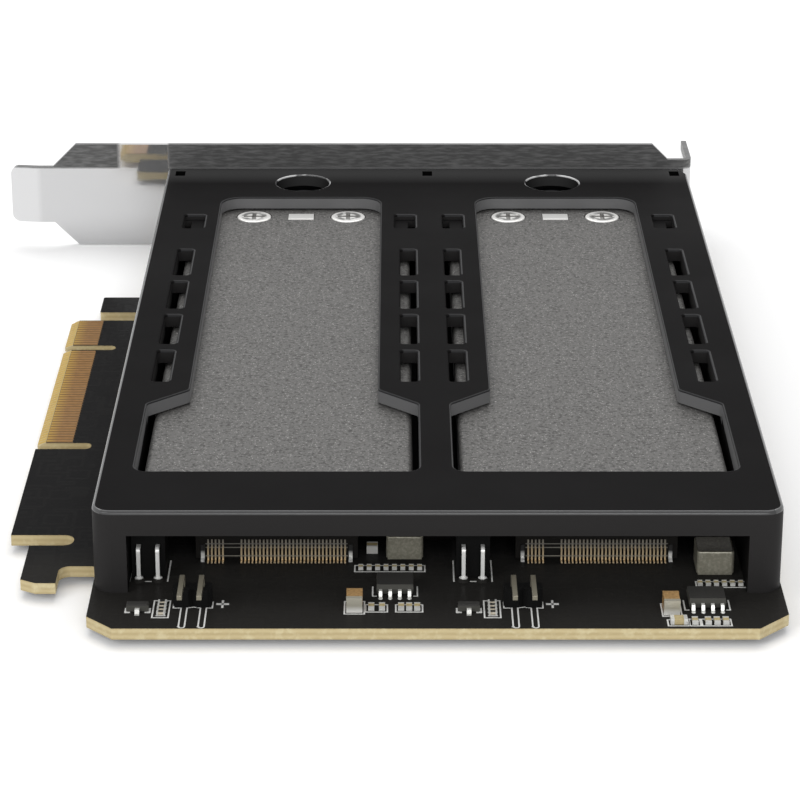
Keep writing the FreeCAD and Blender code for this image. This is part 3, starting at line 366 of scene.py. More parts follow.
cage_black = cage_skin_with_rear_highlight()
# painted light: a lighter copy of the cage's black for its front faces and vent walls
cage_front = moulded("cage_front_wall_painted_light", (0.023, 0.022, 0.022), 0.42, 0.56, CAGE_GRAIN, FINE_RELIEF, 0.05)
cage_edge = moulded("cage_side_rims", (0.02, 0.02, 0.021), 0.14, 0.24, CAGE_GRAIN, RIM_RELIEF, 1.0)
front_edge = moulded("cage_front_rim", (0.022, 0.022, 0.023), 0.28, 0.38, CAGE_GRAIN, RIM_RELIEF, 0.55)
window_edge = moulded("cage_window_rims", (0.016, 0.016, 0.017), 0.32, 0.44, CAGE_GRAIN, RIM_RELIEF, 0.12)
# painted light and reflection: the window walls are a light grey beside the black top
window_walls_painted_light = moulded("cage_window_walls_painted_light", (0.14, 0.14, 0.142), 0.35, 0.5, CAGE_GRAIN, WALL_RELIEF, 0.2)
# painted shade: the pockets are darker than the cage's black
pockets_painted_shade = moulded("cage_pockets_painted_shade", (0.003, 0.003, 0.003), 0.5, 0.6, CAGE_GRAIN, WALL_RELIEF, 0.01)
tray_black = moulded("tray_moulding", (0.014, 0.014, 0.015), 0.45, 0.6, TRAY_GRAIN, TRAY_RELIEF, 0.1)
chip_black = moulded("chip_moulding", (0.036, 0.035, 0.033), 0.45, 0.6, SMALL_GRAIN, FINE_RELIEF, 0.1)
# painted light: a paler copy of the chip's black for its flanks
painted_light_flank = moulded("chip_flanks", (0.068, 0.067, 0.06), 0.45, 0.6, SMALL_GRAIN, FINE_RELIEF, 0.1)
holder_black = moulded("holder_moulding", (0.008, 0.008, 0.008), 0.45, 0.6, SMALL_GRAIN, FINE_RELIEF, 0.03)
socket_black = moulded("socket_moulding", (0.012, 0.011, 0.01), 0.5, 0.65, SMALL_GRAIN, FINE_RELIEF, 0.1)
print("materials in the file:", len(bpy.data.materials))

# %% [markdown]
# The lids are blasted metal, with flecks of about half a millimetre. The effect gives a mask for the
# dark flecks and one for the light ones, and each mask tints the colour in turn.


# %% The lids' blasted metal
def blasted_metal():
    finish = Finish("blasted_lid", (0.13, 0.127, 0.123), 0.5, metallic=0.3, specular=0.1)
    fleck = finish.effect(metal_flecks, Scale=2200.0)
    shaded = finish.tint(fleck["Dark"], (0.05, 0.049, 0.047))
    finish.tint(fleck["Light"], (0.6, 0.59, 0.57), shaded)
    finish.relief(fleck["Height"], 0.02 * MM, 0.6)
    return finish.material


lid_grey = blasted_metal()
print("lid finish:", lid_grey.name)

# %% [markdown]
# The bracket is bright rolled sheet. Its strip above the cage is rougher, and painted dark with
# lighter streaks as a painted reflection. Masks along the axes mark that strip off, so one material
# covers the whole solid and its borders can be soft.

# %% The bracket's bright sheet
REAR_TAB_LEFT = 4.3
TONGUE_JOGGLE = -9.9


def rolled_sheet():
    """Bright sheet. The strip above the cage is rougher and painted dark with lighter streaks, a painted
    reflection, apart from a bright stretch over the board's rear tab, beside the cage. The joggled end
    of the tongue is a little brighter, as painted light."""
    shiny, band_metallic, band_roughness = 0.88, 0.3, 0.3
    finish = Finish("rolled_bracket", (0.58, 0.58, 0.585), 0.06, metallic=shiny, specular=0.3)
    tree = finish.tree
    wave = finish.effect(rolled_waves, Scale=420.0, Stretch=0.2)
    streak = finish.effect(rolled_waves, Scale=2600.0, Stretch=0.16)
    cage_left, cage_top = cage_low.x / MM, cage_high.z / MM
    before_tab = finish.along("X", REAR_TAB_LEFT + 0.4, REAR_TAB_LEFT - 0.4)
    beyond_cage_side = finish.along("X", cage_left - 0.2, cage_left + 0.2)
    above_cage = finish.along("Z", cage_top - 0.2, cage_top + 0.2)
    # painted reflection: above the cage the sheet is tinted dark, with lighter streaks
    dull_with_painted_reflection = maths(tree, "MULTIPLY", above_cage, maths(tree, "MAXIMUM", before_tab, beyond_cage_side))
    painted_reflection_streaks = maths(tree, "MULTIPLY", dull_with_painted_reflection, remap(tree, streak["Height"], 0.42, 0.7))
    # painted light: the tongue's end past the joggle is tinted lighter
    past_joggle = finish.along("X", TONGUE_JOGGLE + 0.5, TONGUE_JOGGLE - 0.5)
    painted_light_on_joggle = finish.tint(past_joggle, (0.665, 0.665, 0.67))
    painted_reflection = finish.tint(dull_with_painted_reflection, (0.092, 0.092, 0.092), painted_light_on_joggle)
    finish.tint(painted_reflection_streaks, (0.17, 0.17, 0.17), painted_reflection)
    shine = remap(tree, wave["Height"], 0.25, 0.75, 0.03, 0.08)
    roughness = maths(tree, "ADD", shine, maths(tree, "MULTIPLY", dull_with_painted_reflection, band_roughness))
    tree.links.new(roughness, finish.shader.inputs["Roughness"])
    metallic = remap(tree, dull_with_painted_reflection, 0.0, 1.0, shiny, band_metallic)
    tree.links.new(metallic, finish.shader.inputs["Metallic"])
    finish.relief(wave["Height"], 0.02 * MM, 0.5)
    return finish.material


bracket_steel = rolled_sheet()
print("bracket finish:", bracket_steel.name)

# %% [markdown]
# Screws, clips and pins are plated, and differ only in colour, gloss and how metallic they look, so
# one function makes them all. The finger holes' rims are glossy black, with patches of painted highlight.


# %% Plated steel and rims with painted highlights
def plated_steel(name, colour, low, high, metallic=1.0):
    finish = Finish(name, colour, (low + high) / 2, metallic=metallic)
    finish.grained(2500.0, low, high, 0.01 * MM)
    return finish.material


def rim_painted_highlights():
    """The finger holes' rims, glossy black with patches of painted highlight."""
    finish = Finish("finger_hole_rims", (0.03, 0.03, 0.031), 0.25, specular=0.8)
    highlight_noise = finish.grained(300.0, 0.2, 0.3)
    # painted highlight: light grey patches on the black rim
    finish.tint(remap(finish.tree, highlight_noise, 0.47, 0.55), (0.5, 0.5, 0.5))
    return finish.material


screw_steel = plated_steel("plated_screw", (0.66, 0.65, 0.63), 0.2, 0.34)
zinc = plated_steel("satin_zinc", (0.6, 0.595, 0.58), 0.34, 0.46, 0.4)
# painted shade: the screws' recess faces are a darker zinc than their heads
recess_painted_shade = plated_steel("driver_recess_painted_shade", (0.3, 0.295, 0.285), 0.4, 0.55, 0.4)
pin_steel = plated_steel("dark_pin", (0.175, 0.16, 0.12), 0.25, 0.4, 0.4)
tin = plated_steel("bright_tin", (0.68, 0.68, 0.65), 0.3, 0.42, 0.35)
lead_tin = plated_steel("lamp_lead_tin", (0.86, 0.86, 0.84), 0.3, 0.42, 0.25)
hole_edge = rim_painted_highlights()
print("materials in the file:", len(bpy.data.materials))

# %% [markdown]
# The board is glass cloth under a black mask. Its faces are masked, but every cut edge shows the
# pale cloth, so one solid needs two materials. The mask lets a little of the tracks show through.


# %% The board's mask and its cut edge
def solder_mask():
    """Black mask, paler in front of the cage as painted light against the cage's shade, and a little paler
    over the hidden tracks.
    """
    finish = Finish("board_mask", (0.0115, 0.0113, 0.0115), 0.2, specular=0.006)
    tracks = finish.effect(hidden_tracks, Pitch=1000.0)
    # painted light: the mask is paler in front of the cage, where the cage's lip shades it
    in_front = finish.along("Y", board_front + 25.8, board_front + 17.8)
    painted_light_in_front = finish.tint(in_front, (0.022, 0.021, 0.0195))
    over_tracks = remap(finish.tree, tracks["Height"], 0.0, 1.0, 0.0, 0.12)
    finish.tint(over_tracks, (0.03, 0.029, 0.027), painted_light_in_front)
    finish.gloss(tracks["Gloss Shift"], 0.2, 0.34)
    finish.relief(tracks["Height"], 0.02 * MM, 0.35)
    return finish.material


def laminate_edge():
    finish = Finish("board_laminate", (0.53, 0.44, 0.25), 0.6, specular=0.2)
    cloth = finish.effect(cloth_layers, Layers=2.0)
    resin = remap(finish.tree, cloth["Layer"], 0.0, 1.0, 0.0, 0.5)
    fibres = remap(finish.tree, cloth["Mottle"], 0.5, 0.75, 0.0, 0.5)
    banded = finish.tint(resin, (0.36, 0.28, 0.14))
    finish.tint(fibres, (0.7, 0.64, 0.42), banded)
    finish.relief(cloth["Mottle"], 0.02 * MM, 0.5)
    return finish.material


mask_black = solder_mask()
laminate = laminate_edge()
print("board finishes:", mask_black.name, laminate.name)

# %% [markdown]
# The contacts are thin gold over nickel, mottled by two close tones. The springs in the sockets are
# satin metal in the shade of the cage's beam, so a mask along the height changes their colour. It
# also serves the sockets' tabs and the capacitors' ends, which are darker at their tops.


# %% Gold and spring metal
def plated_gold(name, colour, deep, edge=None):
    """Thin gold, mottled towards a deeper tone and, where asked, yellower at the card's edge."""
    finish = Finish(name, colour, 0.32, metallic=0.35, specular=0.04)
    grain = finish.grained(900.0, 0.24, 0.42, 0.01 * MM)
    mottled = finish.tint(remap(finish.tree, grain, 0.4, 0.8), deep)
    if edge:
        finish.tint(finish.along("X", 3.0, 1.2), edge, mottled)
    return finish.material


def spring_metal(name, colour, upper, low, high):
    """Satin metal whose colour changes from low to high, as the cage's beam shades its top."""
    finish = Finish(name, colour, 0.4, metallic=0.35, specular=0.15)
    finish.grained(1800.0, 0.32, 0.46, 0.005 * MM)
    finish.tint(finish.along("Z", low, high), upper)
    return finish.material


contact_gold = plated_gold("contact_gold", (0.27, 0.135, 0.036), (0.2, 0.098, 0.025), (0.42, 0.26, 0.045))
tip_gold = plated_gold("tip_gold", (0.52, 0.34, 0.065), (0.44, 0.275, 0.045))
spring_bronze = spring_metal("spring_bronze", (0.66, 0.52, 0.33), (0.34, 0.31, 0.26), 1.7, 2.1)
bar_grey = spring_metal("socket_bar", (0.34, 0.32, 0.27), (0.2, 0.195, 0.185), 1.0, 3.0)
tab_tin = spring_metal("tab_tin", (0.74, 0.74, 0.72), (0.04, 0.04, 0.04), 0.9, 1.4)
end_tin = spring_metal("capacitor_end_tin", (0.8, 0.79, 0.75), (0.42, 0.4, 0.33), 0.35, 1.0)
print("materials in the file:", len(bpy.data.materials))

# %% [markdown]
# Capacitors, resistors, pads and ink are dull and even, so one function mixes two close tones by a
# fine grain. A coil is pressed powder, with paler specks painted in as small highlights. The lamps and
# the light pipes are clear.


# %% Ceramics, coils and clear parts
def fired_ceramic(name, colour, deep):
    finish = Finish(name, colour, 0.45, specular=0.15)
    grain = finish.grained(3000.0, 0.35, 0.55)
    finish.tint(remap(finish.tree, grain, 0.35, 0.7), deep)
    return finish.material


def pressed_coil(name, colour, pale):
    """Pressed iron powder, speckled a little paler as painted highlights."""
    finish = Finish(name, colour, 0.4, metallic=0.35)
    grain = finish.grained(2600.0, 0.32, 0.48, 0.02 * MM)
    # painted highlights: paler specks scattered by the grain
    finish.tint(remap(finish.tree, grain, 0.4, 0.75), pale)
    return finish.material


def clear_moulding():
    finish = Finish("clear_moulding", (0.92, 0.95, 0.96), 0.08)
    finish.shader.inputs["Transmission Weight"].default_value = 0.9
    finish.shader.inputs["IOR"].default_value = 1.49
    grain = finish.effect(moulded_grain, Scale=1500.0)
    finish.relief(grain["Height"], 0.005 * MM)
    return finish.material


bare_film = fired_ceramic("bare_film", (0.15, 0.085, 0.03), (0.12, 0.068, 0.024))
white_ink = fired_ceramic("white_ink", (0.8, 0.8, 0.78), (0.66, 0.66, 0.64))
tan_ceramic = fired_ceramic("tan_ceramic", (0.42, 0.26, 0.11), (0.3, 0.18, 0.075))
pale_ceramic = fired_ceramic("pale_ceramic", (0.5, 0.41, 0.22), (0.4, 0.32, 0.17))
alumina = fired_ceramic("alumina", (0.62, 0.57, 0.48), (0.5, 0.44, 0.34))
dark_glaze = fired_ceramic("dark_glaze", (0.014, 0.014, 0.014), (0.025, 0.024, 0.022))
coil_grey = pressed_coil("coil_grey", (0.25, 0.24, 0.19), (0.36, 0.345, 0.28))
coil_shade = pressed_coil("coil_top", (0.06, 0.055, 0.044), (0.12, 0.112, 0.09))
soft_pad = fired_ceramic("soft_pad", (0.2, 0.23, 0.27), (0.16, 0.18, 0.22))
clear = clear_moulding()
print("materials in the file:", len(bpy.data.materials))

# %% [markdown]
# ## Finishes onto the solids
# A solid keeps its mesh. Only its material slots change, and the board's faces are shared between the
# mask and the laminate by the way that each face points. The cage has a cell of its own further down.

# %% Dress the solids
solid_finishes = {
    "slot_bracket": bracket_steel, "cage_screws": screw_steel, "bracket_screws": screw_steel,
    "edge_contacts": contact_gold, "socket_tabs": tab_tin,
    "led_housings": holder_black, "led_leads": lead_tin, "header_bodies": holder_black,
    "header_pins": pin_steel, "power_inductors": coil_grey, "driver_chips": chip_black,
    "driver_chip_leads": tin,
    "transistors": chip_black, "transistor_leads": tin, "bulk_capacitors": tan_ceramic,
    "bulk_capacitor_ends": end_tin, "chip_capacitors": pale_ceramic, "chip_resistors": dark_glaze,
    "chip_ends": tin,
}
bay_finishes = {
    "drive_socket": socket_black, "socket_contacts": spring_bronze, "led": clear, "tray": tray_black,
    "tray_lid": lid_grey, "lid_screws": zinc, "lid_clip": zinc, "thermal_pad": soft_pad,
    "drive_standoff": screw_steel, "drive_screw": screw_steel, "light_pipe": clear, "bezel": tray_black,
    "bezel_screws": screw_steel, "eject_lever": tray_black, "lever_pin": screw_steel,
}
for side in channel_middles:
    for name, finish in bay_finishes.items():
        solid_finishes[side + "_" + name] = finish
for name, finish in solid_finishes.items():
    nodes[name].data.materials.clear()
    nodes[name].data.materials.append(finish)

board_mesh = nodes["board"].data
board_mesh.materials.clear()
board_mesh.materials.append(mask_black)
board_mesh.materials.append(laminate)
FLAT = 0.98
for face in board_mesh.polygons:
    face.material_index = 0 if abs(face.normal.z) > FLAT else 1
cut_faces = sum(face.material_index for face in board_mesh.polygons)
print("dressed", len(solid_finishes), "solids and the board; laminate faces:", cut_faces)

# %% [markdown]
# The cage's rounded rims catch the light as thin bright lines. The walls of its windows are smoother
# than its top and painted a light grey, as painted light and reflection, its front faces are painted
# a little lighter, and its pockets darker, as painted shade. A face belongs to one of these zones by
# where it lies and which way it points, so one function names the zone and the loop after it gives
# the finish.

# %% Tell the cage's zones apart
ROOF_DEPTH = 2.6 * MM
RIM_DEPTH = 0.55 * MM
OUTER_BAND = 1.3 * MM
FRONT_CORNER = 2.7 * MM
POCKET_REACH = 4.45 * MM
VENT_STRIP = 15.4 * MM
SHOULDER_REACH = 44.0 * MM
OUTER_WALL = 0.3 * MM
HOLE_SETBACK = 8.3 * MM
HOLE_REACH = 5.2 * MM
UPRIGHT = 0.05
NEARLY_FLAT = 0.985
hole_axes = [Vector((x, cage_high.y - HOLE_SETBACK)) for x in channel_middles.values()]


def cage_zone(centre, normal):
    """The name of the zone that a face of the cage lies in."""
    from_top = cage_high.z - centre.z
    from_side = min(centre.x - cage_low.x, cage_high.x - centre.x)
    from_front = centre.y - cage_low.y
    from_rear = cage_high.y - centre.y
    from_channel = min(abs(centre.x - x) for x in channel_middles.values())
    upright = abs(normal.z) < UPRIGHT
    in_vent = from_channel > VENT_STRIP and from_front > SHOULDER_REACH
    if min((centre.xy - axis).length for axis in hole_axes) < HOLE_REACH:
        on_rim = from_top < RIM_DEPTH and UPRIGHT <= normal.z < NEARLY_FLAT
        return "hole rim" if on_rim else "top"
    if from_top < RIM_DEPTH and UPRIGHT <= normal.z < NEARLY_FLAT:
        if from_side < OUTER_BAND:
            return "side rim"
        if from_front < OUTER_BAND:
            return "front rim"
        turned_away = in_vent and max(normal.x, normal.y) > 0.1
        return "window rim" if from_rear > OUTER_BAND and not turned_away else "top"
    if upright and from_front < FRONT_CORNER and normal.y < -0.15:
        return "front wall"
    if from_top >= ROOF_DEPTH:
        return "top"
    if OUTER_WALL < from_rear < POCKET_REACH and from_side > OUTER_WALL:
        return "pocket" if from_top > 0.02 * MM else "top"
    if upright and min(from_side, from_front) > OUTER_WALL and from_top > RIM_DEPTH / 3:
        return "front wall" if in_vent else "window wall"
    return "top"


print("finger holes, mm:", [tuple(round(v / MM, 1) for v in axis) for axis in hole_axes])

# %% [markdown]
# The cage gets one slot for each zone, in the order of the table, and each face takes its zone's slot.

# %% Dress the cage
cage_mesh = nodes["cage"].data
cage_place = nodes["cage"].matrix_world
cage_finishes = {
    "top": cage_black, "side rim": cage_edge, "window wall": window_walls_painted_light, "window rim": window_edge,
    "front rim": front_edge, "front wall": cage_front, "pocket": pockets_painted_shade, "hole rim": hole_edge,
}
cage_mesh.materials.clear()
for finish in cage_finishes.values():
    cage_mesh.materials.append(finish)
zone_slots = {zone: slot for slot, zone in enumerate(cage_finishes)}
for face in cage_mesh.polygons:
    face.material_index = zone_slots[cage_zone(cage_place @ face.center, face.normal)]
slots = [face.material_index for face in cage_mesh.polygons]
print("cage faces by zone:", {zone: slots.count(slot) for zone, slot in zone_slots.items()})

# %% [markdown]
# Some small parts need a second finish on the faces that point one way: a chip's flanks are painted
# paler than its top, as painted light, a chip resistor is white alumina under its dark glaze, and a
# coil's top is darker, as painted shade.


# %% Dress small parts by the way their faces point
def dress_faces(name, finish, chosen):
    """Gives another finish to the faces whose normal passes a test."""
    data = nodes[name].data
    data.materials.append(finish)
    for face in data.polygons:
        if chosen(face.normal):
            face.material_index = 1
    print(name, finish.name, "faces:", sum(face.material_index for face in data.polygons))


def is_flank(normal):
    return normal.z < 0.5


def is_top(normal):
    return normal.z > 0.7


dress_faces("driver_chips", painted_light_flank, is_flank)
dress_faces("transistors", painted_light_flank, is_flank)
dress_faces("chip_resistors", alumina, is_flank)
dress_faces("power_inductors", coil_shade, is_top)

# %% [markdown]
# The far ends of the large capacitors show only ceramic, and the solder mask covers the skirt of each
# lamp lead's solder dome.

# %% Dress the capacitor ends and the solder skirts
SKIRT = 0.6 * MM
ends = nodes["bulk_capacitor_ends"]
ends.data.materials.append(tan_ceramic)
for left in (True, False):
    faces = [f for f in ends.data.polygons if ((ends.matrix_world @ f.center).x < card_middle) == left]
    places = [(ends.matrix_world @ f.center).y for f in faces]
    for face, place in zip(faces, places):
        face.material_index = int(place > (min(places) + max(places)) / 2)
leads = nodes["led_leads"]
leads.data.materials.append(mask_black)
lead_axes = [Vector((x + turn * HEADER_PITCH / 2, y)) * MM
             for x, y in lamp_leads.values() for turn in (-1, 1)]
for face in leads.data.polygons:
    centre = leads.matrix_world @ face.center
    reach = min((centre.xy - axis).length for axis in lead_axes)
    face.material_index = int(0 < centre.z < SKIRT and reach > SKIRT)
print("solder skirt faces:", sum(face.material_index for face in leads.data.polygons))

# %% [markdown]
# A lid screw's head is bright at its rim and around its recess, with a darker ring between, painted
# shade. Its recess faces take a darker zinc, also painted shade. The recess faces are those above the
# head's seat that lie below its top and close to the screw's axis. The ring is found in the material,
# by the distance from the nearer axis.

# %% Dress the lid screws
HEAD_RADIUS = 2.9 * MM
HEAD_HEIGHT = 1.0 * MM
RECESS_REACH = 1.9 * MM
RECESS_LIP = 0.05 * MM


def driven_head(name, axes):
    """Zinc heads that are bright at their rims and middles, with a darker ring between, painted shade."""
    finish = Finish(name, (0.8, 0.79, 0.77), 0.36, metallic=0.4)
    tree = finish.tree
    flat = tree.nodes.new("ShaderNodeVectorMath")
    flat.operation = "MULTIPLY"
    flat.inputs[1].default_value = (1, 1, 0)
    tree.links.new(finish.place, flat.inputs[0])
    reaches = []
    for axis in axes:
        gap = tree.nodes.new("ShaderNodeVectorMath")
        gap.operation = "DISTANCE"
        gap.inputs[1].default_value = (axis.x, axis.y, 0)
        tree.links.new(flat.outputs["Vector"], gap.inputs[0])
        reaches.append(gap.outputs["Value"])
    reach = maths(tree, "MINIMUM", *reaches)
    past_middle = remap(tree, reach, 1.2 * MM, 1.5 * MM)
    inside_rim = remap(tree, reach, 2.3 * MM, 2.0 * MM)
    patchy = remap(tree, finish.grained(900.0, 0.3, 0.42, 0.01 * MM), 0.3, 0.5)
    # painted shade: a darker ring between the head's rim and its middle
    ring = maths(tree, "MULTIPLY", past_middle, inside_rim)
    finish.tint(maths(tree, "MULTIPLY", ring, patchy), (0.22, 0.218, 0.212))
    return finish.material


for side in channel_middles:
    screws = nodes[side + "_lid_screws"]
    low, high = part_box(side + "_lid_screws")
    axes = [Vector((x, (low.y + high.y) / 2)) for x in (low.x + HEAD_RADIUS, high.x - HEAD_RADIUS)]
    screws.data.materials.clear()
    screws.data.materials.append(driven_head(side + "_screw_heads", axes))
    screws.data.materials.append(recess_painted_shade)
    for face in screws.data.polygons:
        centre = screws.matrix_world @ face.center
        near = min((centre.xy - axis).length for axis in axes)
        if near < RECESS_REACH and high.z - HEAD_HEIGHT < centre.z < high.z - RECESS_LIP:
            face.material_index = 1
    print(side, "recess faces:", sum(face.material_index for face in screws.data.polygons))

# %% [markdown]
# ## Printed marks
# White ink on the board outlines some components. An ink line could be a picture on the board, but a
# thin ribbon that follows a polyline stays sharp from close by. It is less than a fiftieth of a
# millimetre high.

# %% Draw ink ribbons
INK_WIDTH = 0.2 * MM
INK_HEIGHT = 0.015 * MM
INK_LIFT = 0.002 * MM
SHARPEST_MITRE = 0.4


def ribbon(mesh, points, width=INK_WIDTH, closed=False):
    """Adds a flat ribbon with mitred corners along points given in millimetres."""
    path = [Vector((x * MM, y * MM, 0)) for x, y in points]
    count = len(path)
    rows = []
    for i, point in enumerate(path):
        before = path[i - 1] if i or closed else None
        after = path[(i + 1) % count] if i < count - 1 or closed else None
        ways = [(b - a).normalized() for a, b in ((before, point), (point, after)) if a and b]
        way = sum(ways, Vector()).normalized()
        across = Vector((-way.y, way.x, 0))
        reach = width / 2 / max(SHARPEST_MITRE, across.dot(Vector((-ways[0].y, ways[0].x, 0))))
        rows.append([mesh.verts.new(point + across * side * reach + Vector((0, 0, height)))
                     for side, height in ((1, INK_LIFT), (1, INK_HEIGHT), (-1, INK_HEIGHT), (-1, INK_LIFT))])
    pairs = list(zip(rows, rows[1:])) + ([(rows[-1], rows[0])] if closed else [])
    for a, b in pairs:
        for k in range(4):
            mesh.faces.new((a[k], a[(k + 1) % 4], b[(k + 1) % 4], b[k]))
    if not closed:
        mesh.faces.new(rows[0])
        mesh.faces.new(rows[-1][::-1])


def add_piece(name, data, body):
    """Puts a mesh in the scene as a piece that rides on a body and takes its finish from a slot."""
    piece = bpy.data.objects.new(name, data)
    scene.collection.objects.link(piece)
    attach(piece, body)
    print(name, "faces:", len(data.polygons))


def finished_mesh(name, mesh, finish):
    """Turns a bmesh into a plain mesh with one finish."""
    data = bpy.data.meshes.new(name)
    bmesh.ops.recalc_face_normals(mesh, faces=mesh.faces)
    mesh.to_mesh(data)
    mesh.free()
    data.materials.append(finish)
    return data


def box_line(x0, x1, y0, y1):
    return [(x0, y0), (x1, y0), (x1, y1), (x0, y1)]


def arc(x, y, radius, start, end, steps=8):
    turns = [math.radians(start + (end - start) * i / steps) for i in range(steps + 1)]
    return [(x + radius * math.cos(t), y + radius * math.sin(t)) for t in turns]


print("ribbon helper ready, ink width mm:", round(INK_WIDTH / MM, 3))

# %% [markdown]
# Each mark is drawn around the part that it belongs to, so it follows that part. A lamp has a rail on
# each side and a dash between its leads. A header has the drawing of its bent pins, and a plus beside
# it for the polarity. All lengths here are in millimetres.

# %% Draw the marks of lamps and headers
RAIL_GAP = 2.55
RAIL_REAR, RAIL_FRONT = 6.4, -0.3
DASH_HALF, DASH_SETBACK = 0.45, 0.25
SHOULDER_SETBACK, SHOULDER_RISE = 1.4, 1.9
SHOULDER_LEFT, SHOULDER_RIGHT = 2.5, 2.6
LOOP_RADIUS = 0.39
LOOP_TO_EDGE = 0.6
LOOP_JOIN = 0.3
DRAWING_SHIFT = 0.18
PLUS_HALF_WIDTH, PLUS_HALF_LENGTH = 0.85, 1.15


def lamp_marks(mesh, x, y):
    """A rail along each side of a lamp, and a dash between its leads."""
    for turn in (-1, 1):
        rail = x + turn * RAIL_GAP
        ribbon(mesh, [(rail, y + RAIL_REAR), (rail, y + RAIL_FRONT)])
    dash = y - DASH_SETBACK
    ribbon(mesh, [(x - DASH_HALF, dash), (x + DASH_HALF, dash)], 0.22 * MM)


def header_marks(mesh, x, y):
    """The drawing of a header's bent pins: a long loop for each, with a shoulder on either side."""
    shoulder = y - SHOULDER_SETBACK
    loop_end = board_front + LOOP_TO_EDGE
    drawn = x + DRAWING_SHIFT
    outline = [(x - SHOULDER_LEFT, shoulder + SHOULDER_RISE), (x - SHOULDER_LEFT, shoulder)]
    for pin in (drawn - HEADER_PITCH / 2, drawn + HEADER_PITCH / 2):
        outline += [(pin - LOOP_RADIUS, shoulder), (pin - LOOP_RADIUS, loop_end)]
        outline += arc(pin, loop_end, LOOP_RADIUS, 180, 360) + [(pin + LOOP_RADIUS, shoulder)]
        if pin < drawn:
            outline += [(drawn, shoulder + LOOP_JOIN)]
    outline += [(x + SHOULDER_RIGHT, shoulder), (x + SHOULDER_RIGHT, shoulder + SHOULDER_RISE)]
    ribbon(mesh, outline)


def plus_mark(mesh, x, y):
    ribbon(mesh, [(x - PLUS_HALF_WIDTH, y), (x + PLUS_HALF_WIDTH, y)], 0.5 * MM)
    ribbon(mesh, [(x, y - PLUS_HALF_LENGTH), (x, y + PLUS_HALF_LENGTH)], 0.3 * MM)


print("pin loops end at y, mm:", round(board_front + LOOP_TO_EDGE, 2))

# %% [markdown]
# A bank of resistors has a box with rungs, and a chip or a transistor has a pair of corners. The two
# channels have the same lamp, header, transistor and bank, so one function draws them all for a side.

# %% Draw the marks of a channel
PLUS_PLACE = (3.9, -0.2)
TRANSISTOR_SHIFT = 0.2
BANK_BOX = (-1.1, 1.0, -2.725, 2.375)
RUNG_REACH = 0.65
RUNG_FIRST, RUNG_STEP, RUNG_COUNT = -2.145, 1.05, 5
FOOT = 0.55
ARM_SHARE = 0.3


def bank_marks(mesh, x, y):
    """A box around a bank of resistors, with a rung at each end and between them."""
    x0, x1, y0, y1 = BANK_BOX
    ribbon(mesh, box_line(x + x0, x + x1, y + y0, y + y1), closed=True)
    for i in range(RUNG_COUNT):
        rung = y + RUNG_FIRST + i * RUNG_STEP
        ribbon(mesh, [(x - RUNG_REACH, rung), (x + RUNG_REACH, rung)])


def corner_marks(mesh, x, y, half_width, half_length, width=INK_WIDTH):
    """On either side of a part, a foot at its front corner and an arm up its side."""
    for turn in (-1, 1):
        foot = x + turn * (half_width - FOOT)
        edge = x + turn * half_width
        front, arm_end = y - half_length, y + half_length * ARM_SHARE
        ribbon(mesh, [(foot, front), (edge, front), (edge, arm_end)], width)


def channel_marks(mesh, side):
    header_x, header_y = headers[side]
    transistor_x, transistor_y = transistors[side]
    lamp_marks(mesh, *lamp_leads[side])
    header_marks(mesh, header_x, header_y)
    plus_mark(mesh, header_x + PLUS_PLACE[0], header_y + PLUS_PLACE[1])
    bank_marks(mesh, *resistor_banks[side])
    corner_marks(mesh, transistor_x, transistor_y + TRANSISTOR_SHIFT, half_width=1.5, half_length=1.0,
                 width=0.4 * MM)


print("resistors in a bank:", RUNG_COUNT - 1)

# %% [markdown]
# The power parts of the two channels stand in different rows, so the boxes around them are listed by
# side. A box is given by its left, right, front and rear, measured from the channel's driver chip.

# %% Print the marks
POWER_BOXES = {
    "left": ((-6.6, -4.0, -7.7, -3.9), (-3.85, -1.0, -7.1, -4.9), (0.1, 3.6, -7.1, -4.9),
             (-5.4, 4.0, 5.3, 7.3)),
    "right": ((-6.0, -3.5, -4.2, -0.4), (-5.5, -2.8, -7.0, -5.2), (-2.7, -1.3, -7.0, -5.0),
              (-1.1, 2.7, -7.0, -5.0), (-0.8, 5.9, 4.6, 6.4)),
}


def power_marks(mesh, side):
    x, y = driver_chips[side]
    corner_marks(mesh, x, y, half_width=2.95, half_length=2.3)
    for x0, x1, y0, y1 in POWER_BOXES[side]:
        ribbon(mesh, box_line(x + x0, x + x1, y + y0, y + y1), closed=True)


ink = bmesh.new()
for side in channel_middles:
    channel_marks(ink, side)
for side in channel_middles:
    power_marks(ink, side)
add_piece("printed_marks", finished_mesh("printed_marks", ink, white_ink), "card")

# %% [markdown]
# ## Plated tips
# On the real card the plating runs down the ground slope at the connector's edge. A row of equal
# strips at an equal pitch is a job for Geometry Nodes: one strip, instanced on a line of points.
# Each such tree takes its sizes and its finish as inputs and ends in real faces, because the export
# knows nothing of instances. These helpers hold what all the trees share.


# %% Helpers for geometry trees
def geometry_tree(name, inputs):
    """A new geometry tree with a geometry socket each way and the named inputs."""
    tree = bpy.data.node_groups.new(name, "GeometryNodeTree")
    tree.interface.new_socket("Geometry", in_out="INPUT", socket_type="NodeSocketGeometry")
    for label, kind, value in inputs:
        socket = tree.interface.new_socket(label, in_out="INPUT", socket_type="NodeSocket" + kind)
        if value is not None:
            socket.default_value = value
    tree.interface.new_socket("Geometry", in_out="OUTPUT", socket_type="NodeSocketGeometry")
    return tree, tree.nodes.new("NodeGroupInput"), tree.nodes.new("NodeGroupOutput")


